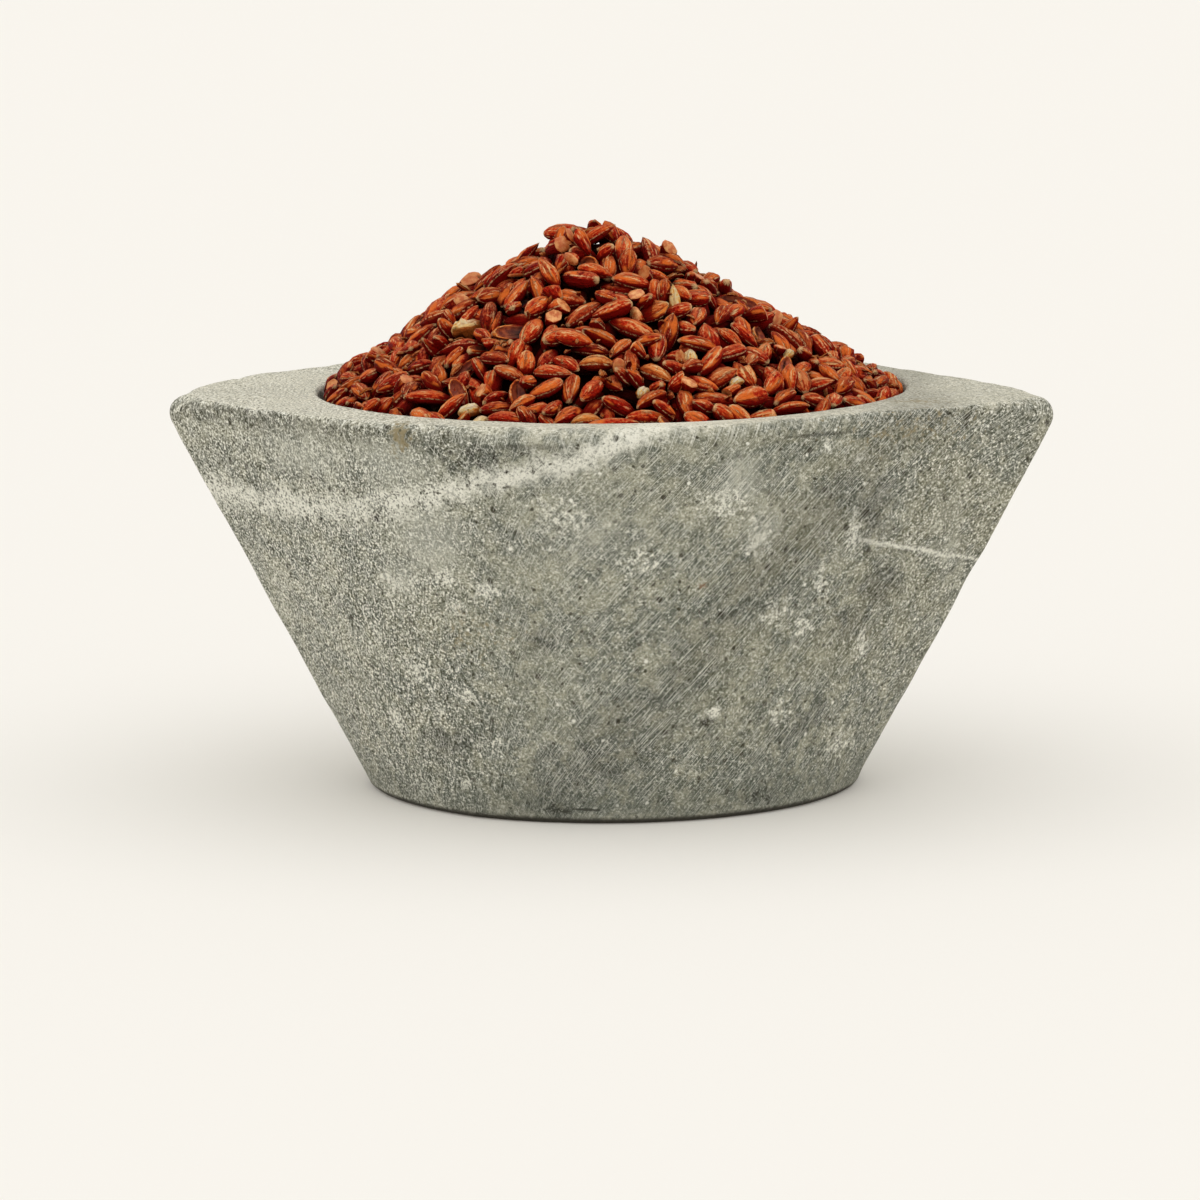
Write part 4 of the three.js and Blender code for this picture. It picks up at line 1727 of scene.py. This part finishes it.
@dataclass
class RiceHeap:
    """The rice: a core painted dark as shade, with all the loose grains over it."""

    effects: Effects
    form: HeapForm = field(default_factory=HeapForm)
    core_depth: float = 5.0
    core_columns: int = 96
    core_rings: int = 40
    wall_gap: float = 0.6
    hollow_depth: float = 46.0
    hollow_fullness: float = 2.6
    shapes: int = 14
    crumbs: int = 460
    seed: int = 11
    shares: dict[Sort, float] = field(default_factory=lambda: {
        Sort.RED: 0.60, Sort.BROWN: 0.284, Sort.BROKEN: 0.06, Sort.HUSK: 0.055, Sort.PALE: 0.001,
    })
    chosen: tuple[Chosen, ...] = (
        Chosen(
            Sort.PALE, -21.0, -14.5, 5, 0, GrainShape(5.0, 3.4, 2.6, bluntness=0.5, knobbly=0.3), 0.35,
            raised=0.8,
        ),
        Chosen(Sort.HUSK, -14.3, -19.8, 0, 0, GrainShape(6.8, 2.9, 2.8, is_husk=True), 0.90, roll=48),
        Chosen(Sort.PALE, -20.4, -34.2, 8, 5, GrainShape(3.7, 2.4, 2.1, bluntness=0.6, knobbly=0.08), 0.90),
        Chosen(Sort.BROKEN, -17.2, -29.6, 80, 50, GrainShape(8.0, 3.0, 2.6, broken_at=0.3), 0.95),
        Chosen(Sort.HUSK, -2.1, -30.0, -8, 0, GrainShape(5.6, 2.8, 2.4), 0.90),
        Chosen(Sort.RED, -12.4, -28.4, 85, 60, GrainShape(4.3, 2.9, 2.2, bluntness=0.65), 1.00),
        Chosen(Sort.RED, -2.5, -2.6, 15, 30, GrainShape(7.6, 2.5, 2.2), 0.85),
        Chosen(Sort.BROWN, -7.0, -1.7, 80, 70, GrainShape(4.8, 2.9, 1.8, bluntness=0.6), 0.80),
        Chosen(Sort.BROKEN, -8.2, -18.2, -35, 20, GrainShape(6.5, 2.8, 2.6, broken_at=0.0), 0.90),
        Chosen(Sort.RED, -14.1, -9.6, 55, 42, GrainShape(6.9, 2.7, 2.3), 1.00),
        Chosen(Sort.HUSK, -3.2, -8.5, -50, 0, GrainShape(4.6, 2.6, 2.4, is_husk=True), 0.70, roll=60),
        Chosen(Sort.PALE, -19.0, -37.1, 40, 20, GrainShape(3.2, 2.0, 1.7, bluntness=0.6), 0.70),
        Chosen(Sort.HUSK, -3.9, -40.5, 0, 10, GrainShape(4.5, 2.6, 2.0), 1.00),
        Chosen(
            Sort.HUSK, 6.2, -18.7, 0, 30, GrainShape(5.0, 3.6, 1.0, bluntness=0.6, knobbly=0.12), 0.30,
            roll=40,
        ),
        Chosen(Sort.PALE, 9.4, -15.4, 100, 62, GrainShape(7.6, 1.9, 1.5), 0.38, raised=0.5),
        Chosen(Sort.PALE, 11.3, -27.1, 85, 65, GrainShape(4.6, 2.4, 1.8, bluntness=0.6), 0.50),
        Chosen(Sort.HUSK, 6.3, -31.2, -42, -12, GrainShape(6.4, 3.1, 2.4, ridge=0.12), 0.60),
        Chosen(Sort.BROWN, 8.2, -21.8, 70, 55, GrainShape(6.8, 3.3, 2.2), 0.00),
        Chosen(Sort.RED, 14.0, -21.5, 110, 55, GrainShape(6.6, 3.5, 2.4, ridge=0.1), 0.45),
        Chosen(Sort.RED, 16.8, -8.6, -38, -25, GrainShape(8.2, 2.9, 2.3, ridge=0.1), 0.60),
        Chosen(Sort.BROKEN, 21.1, -35.5, 0, 5, GrainShape(7.0, 2.7, 2.3, broken_at=0.2), 1.00),
        Chosen(Sort.RED, 36.0, -17.0, -25, -18, GrainShape(7.8, 2.5, 2.1), 1.00),
        Chosen(Sort.RED, 29.4, -22.1, 25, 15, GrainShape(6.8, 2.7, 2.2), 1.00),
        Chosen(Sort.PALE, 17.9, -29.6, 30, 20, GrainShape(2.5, 1.8, 1.5, bluntness=0.6, knobbly=0.08), 0.85),
        Chosen(Sort.PALE, 4.4, -35.5, 60, 20, GrainShape(2.6, 1.9, 1.6, bluntness=0.6, knobbly=0.08), 0.85),
        Chosen(Sort.PALE, 25.9, -17.5, 60, 20, GrainShape(2.6, 1.5, 1.4), 0.70),
        Chosen(Sort.CRUMB, 9.6, -3.7, 20, 15, GrainShape(3.8, 2.8, 1.4, bluntness=0.5, knobbly=0.2), 0.00),
        Chosen(Sort.CRUMB, 22.2, -16.2, 15, 10, GrainShape(3.4, 2.2, 1.4, bluntness=0.5, knobbly=0.2), 0.05),
        Chosen(Sort.RED, -26.3, -28.1, -8, -4, GrainShape(8.0, 2.6, 2.2), 0.80),
    )

    def core(self) -> bpy.types.Object:
        """Makes the core, which follows the hollow below and the heap's form above."""
        turns = np.linspace(0, 2 * np.pi, self.core_columns, endpoint=False)
        directions = np.stack((np.cos(turns), np.sin(turns)), axis=1)
        rows = []
        power = 2 / self.hollow_fullness
        steps = self.core_rings // 2
        for i in range(steps + 1):
            turn = math.pi / 2 * (1 - 0.93 * i / steps)
            radius = (self.form.radius - self.wall_gap) * (math.cos(turn) ** power if i else 0.0)
            depth = (self.hollow_depth - self.wall_gap) * math.sin(turn) ** power
            rows.append(np.column_stack((directions * radius, np.full(len(turns), -depth))))
        outer = radius
        for i in range(1, self.core_rings + 1):
            radius = outer * (1 - i / self.core_rings)
            xy = directions * radius
            z = self.form.surface(xy[:, 0], xy[:, 1]) - self.core_depth - 0.4
            place = np.column_stack((xy, z))
            z = z + 0.35 * unevenness(place, 2.2, 5.0) * (radius > 0)
            rows.append(np.column_stack((xy, z)))
        points = np.stack(rows, axis=1)
        points[:, :, 2] += self.form.lip_height
        mesh = rolled_skin(points, "rice_core", {})
        mesh.materials.append(ShadedCore().material(self.effects))
        return finished(mesh, "rice_core", "rice_heap")

    def templates(self, generator: np.random.Generator) -> dict[Sort, list[Template]]:
        """Shapes the grains of each sort.

        Args:
            generator: where their differences come from.

        Returns:
            Several shapes of each sort.
        """
        made: dict[Sort, list[Template]] = {sort: [] for sort in Sort}
        for _ in range(self.shapes):
            length = float(np.clip(generator.normal(6.7, 0.75), 5.4, 7.3))
            whole = GrainShape(
                length=length, width=generator.normal(2.9, 0.3),
                thickness=generator.normal(2.4, 0.25), bend=generator.uniform(-0.1, 0.45),
                bluntness=generator.uniform(0.62, 1.0), fullness=generator.uniform(1.9, 2.6),
                skew=generator.uniform(-0.22, 0.22),
            )
            made[Sort.RED].append(whole.model(generator))
            made[Sort.BROWN].append(replace(whole, ridge=0.09, knobbly=0.04).model(generator))
            broken = replace(whole, broken_at=generator.uniform(-0.35, 0.65))
            made[Sort.BROKEN].append(broken.model(generator))
            made[Sort.HUSK].append(replace(whole, thickness=2.7, is_husk=True, ridge=0.03).model(generator))
            made[Sort.PALE].append(GrainShape(
                length=generator.uniform(2.6, 5.5), width=generator.uniform(1.6, 2.3), thickness=1.7,
                ridge=0.03,
            ).model(generator))
            made[Sort.CRUMB].append(GrainShape(
                length=generator.uniform(0.9, 3.0), width=generator.uniform(0.5, 1.2), thickness=0.6,
                bluntness=0.5, knobbly=0.25, sides=6, rings=4,
            ).model(generator))
        return made

    def finishes(self) -> dict[Sort, tuple[bpy.types.Material, bpy.types.Material]]:
        """The materials of each sort of grain, of its skin and of its inside."""
        amber = Kernel("amber_kernel", light=(0.86, 0.42, 0.15), dark=(0.56, 0.13, 0.03), roughness=0.4)
        hollow = Kernel("husk_inside", light=(0.50, 0.10, 0.025), dark=(0.18, 0.02, 0.006), roughness=0.6)
        chalk = Kernel("chalky_kernel", light=(0.92, 0.84, 0.72), dark=(0.74, 0.48, 0.26))
        red = Bran(
            "red_bran",
            (
                (0.0, (0.08, 0.002, 0.001)), (0.3, (0.32, 0.006, 0.002)), (0.6, (0.60, 0.034, 0.007)),
                (0.85, (0.84, 0.17, 0.040)), (1.0, (1.0, 0.52, 0.20)),
            ),
            glow=(1.0, 0.22, 0.035), dust_and_sheen=(0.66, 0.165, 0.06), tip_and_highlight=(1.0, 0.70, 0.34),
        )
        brown = Bran(
            "brown_bran",
            (
                (0.0, (0.06, 0.002, 0.001)), (0.35, (0.24, 0.008, 0.003)),
                (0.7, (0.56, 0.062, 0.013)), (1.0, (0.84, 0.30, 0.10)),
            ),
            glow=(0.94, 0.20, 0.03), dust_and_sheen=(0.50, 0.13, 0.045), tip_and_highlight=(1.0, 0.68, 0.34), roughness=0.55,
        )
        husk = Bran(
            "husk_bran",
            (
                (0.0, (0.24, 0.015, 0.003)), (0.4, (0.58, 0.09, 0.014)),
                (0.75, (0.84, 0.26, 0.055)), (1.0, (1.0, 0.56, 0.20)),
            ),
            glow=(1.0, 0.30, 0.05), dust_and_sheen=(0.76, 0.26, 0.08), tip_and_highlight=(1.0, 0.76, 0.38), roughness=0.55, grooves=6,
        )
        pale = Bran(
            "pale_bran",
            (
                (0.0, (0.62, 0.16, 0.02)), (0.35, (1.0, 0.44, 0.08)),
                (0.65, (1.0, 0.78, 0.34)), (1.0, (1.0, 0.96, 0.90)),
            ),
            glow=(1.0, 0.72, 0.34), dust_and_sheen=(1.0, 0.82, 0.56), tip_and_highlight=(1.0, 0.64, 0.24), deep=(0.50, 0.12, 0.02),
            black=(0.20, 0.05, 0.01), groove_shade=0.5, seam_and_highlight_strength=0.2,
        )
        crumb = Bran(
            "crumb_bran",
            (
                (0.0, (0.06, 0.010, 0.004)), (0.35, (0.30, 0.030, 0.008)),
                (0.7, (0.74, 0.20, 0.04)), (1.0, (1.0, 0.74, 0.38)),
            ),
            glow=(0.74, 0.18, 0.03), dust_and_sheen=(0.56, 0.18, 0.06), tip_and_highlight=(1.0, 0.66, 0.30), roughness=0.6,
        )
        insides = {Sort.HUSK: hollow, Sort.PALE: chalk}
        skins = {
            Sort.RED: red, Sort.BROWN: brown, Sort.BROKEN: red,
            Sort.HUSK: husk, Sort.PALE: pale, Sort.CRUMB: crumb,
        }
        finishes = dict.fromkeys((*skins.values(), *insides.values(), amber))
        made = {finish: finish.material(self.effects) for finish in finishes}
        return {sort: (made[skins[sort]], made[insides.get(sort, amber)]) for sort in Sort}

    def build(self) -> list[bpy.types.Object]:
        """Makes and dresses the core and all the grains."""
        generator = np.random.default_rng(self.seed)
        pieces = [self.core()]
        templates = self.templates(generator)
        pour = Pour(self.form, generator, core_depth=self.core_depth)
        for chosen in self.chosen:
            pour.lay(chosen, generator)
        sorts, shares = list(self.shares), list(self.shares.values())

        def draw() -> tuple[Sort, Template, float, tuple[float, float]]:
            """Takes the next grain out of the sack."""
            sort = sorts[generator.choice(len(sorts), p=shares)]
            template = templates[sort][generator.integers(self.shapes)]
            return sort, template, generator.uniform(0.80, 1.10), tuple(generator.random(2))

        pour.fill(draw)
        pour.strew(templates[Sort.CRUMB], self.crumbs)
        finishes = self.finishes()
        for sort in Sort:
            grains = [grain for of_sort, grain in pour.placed if of_sort is sort]
            log.info("%s: %d", sort.value, len(grains))
            mesh = joined(grains, sort.value, pour.sunk)
            for material in finishes[sort]:
                mesh.materials.append(material)
            pieces.append(finished(mesh, sort.value, "rice_heap"))
        return pieces


# ---------------------------------------------------------------- the studio


@dataclass(frozen=True)
class PaleFloor(Finish):
    """The finish of the floor, with a faint glow of its own that softens the shadow."""

    name: str = "pale_floor"
    colour: Colour = (0.785, 0.769, 0.745)
    glow: Colour = (1.0, 0.93, 0.78)
    glow_strength: float = 0.12

    def inputs(self, bench: Bench, effects: Effects) -> Inputs:
        """The plain values of the floor."""
        return {
            "Base Color": self.colour, "Roughness": 0.9, "Specular IOR Level": 0.1,
            "Emission Color": self.glow, "Emission Strength": self.glow_strength,
        }


@dataclass
class Studio:
    """The plain pale floor, the soft light and the camera."""

    effects: Effects
    floor_size: float = 12.0  # metres
    sky_colour: Colour = (1.0, 0.98, 0.94)
    sky_strength: float = 0.72
    sun_colour: Colour = (0.99, 1.0, 1.0)
    sun_strength: float = 1.085
    sun_spread: float = 100.0  # degrees
    sun_from: Point = (0.02, -0.12, 1.0)
    distance: float = 0.9  # metres from the point looked at
    looks_at: Point = (-0.0021, 0.0, 0.02727)  # metres
    pitch: float = 8.84  # degrees down
    roll: float = 0.63  # degrees
    lens: float = 180.0

    def camera(self) -> None:
        """Places the camera."""
        data = bpy.data.cameras.new("camera")
        data.lens = self.lens
        data.sensor_width = 36.0
        data.clip_start, data.clip_end = 0.05, 50.0
        camera = bpy.data.objects.new("camera", data)
        pitch, roll = math.radians(self.pitch), math.radians(self.roll)
        turn = Euler((math.pi / 2 - pitch, 0.0, 0.0)).to_matrix() @ Matrix.Rotation(roll, 3, "Z").inverted()
        forward = turn @ Vector((0.0, 0.0, -1.0))
        stand = Vector(self.looks_at) - forward * self.distance
        camera.matrix_world = Matrix.Translation(stand) @ turn.to_4x4()
        bpy.context.scene.collection.objects.link(camera)
        bpy.context.scene.camera = camera

    def floor(self) -> None:
        """Lays the floor."""
        bm = bmesh.new()
        bmesh.ops.create_grid(bm, x_segments=1, y_segments=1, size=self.floor_size / 2)
        mesh = bpy.data.meshes.new("floor")
        bm.to_mesh(mesh)
        bm.free()
        mesh.materials.append(PaleFloor().material(self.effects))
        floor = bpy.data.objects.new("floor", mesh)
        bpy.context.scene.collection.objects.link(floor)

    def light(self) -> None:
        """Hangs one very large soft light overhead."""
        data = bpy.data.lights.new("overhead_light", "SUN")
        data.color = self.sun_colour
        data.energy = self.sun_strength
        data.angle = math.radians(self.sun_spread)
        light = bpy.data.objects.new("overhead_light", data)
        light.rotation_euler = Vector(self.sun_from).to_track_quat("Z", "Y").to_euler()
        bpy.context.scene.collection.objects.link(light)

    def build(self) -> None:
        """Sets the stage."""
        world = bpy.data.worlds.new("pale_room")
        world.use_nodes = True
        light = {"Color": self.sky_colour, "Strength": self.sky_strength}
        Bench(world.node_tree).fill(world.node_tree.nodes["Background"], light)
        bpy.context.scene.world = world
        bpy.context.scene.view_settings.view_transform = "Standard"
        self.floor()
        self.light()
        self.camera()


def main() -> None:
    """Builds the bowl, the rice and the studio, and logs how many faces each piece has."""
    logging.basicConfig(level=logging.INFO, format="%(message)s")
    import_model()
    effects = Effects()
    Studio(effects).build()
    pieces = [StoneBowl(effects).build(), *RiceHeap(effects).build()]
    for piece in pieces:
        log.info("%s: %d faces", piece.name, len(piece.data.polygons))


if __name__ == "__main__":
    main()
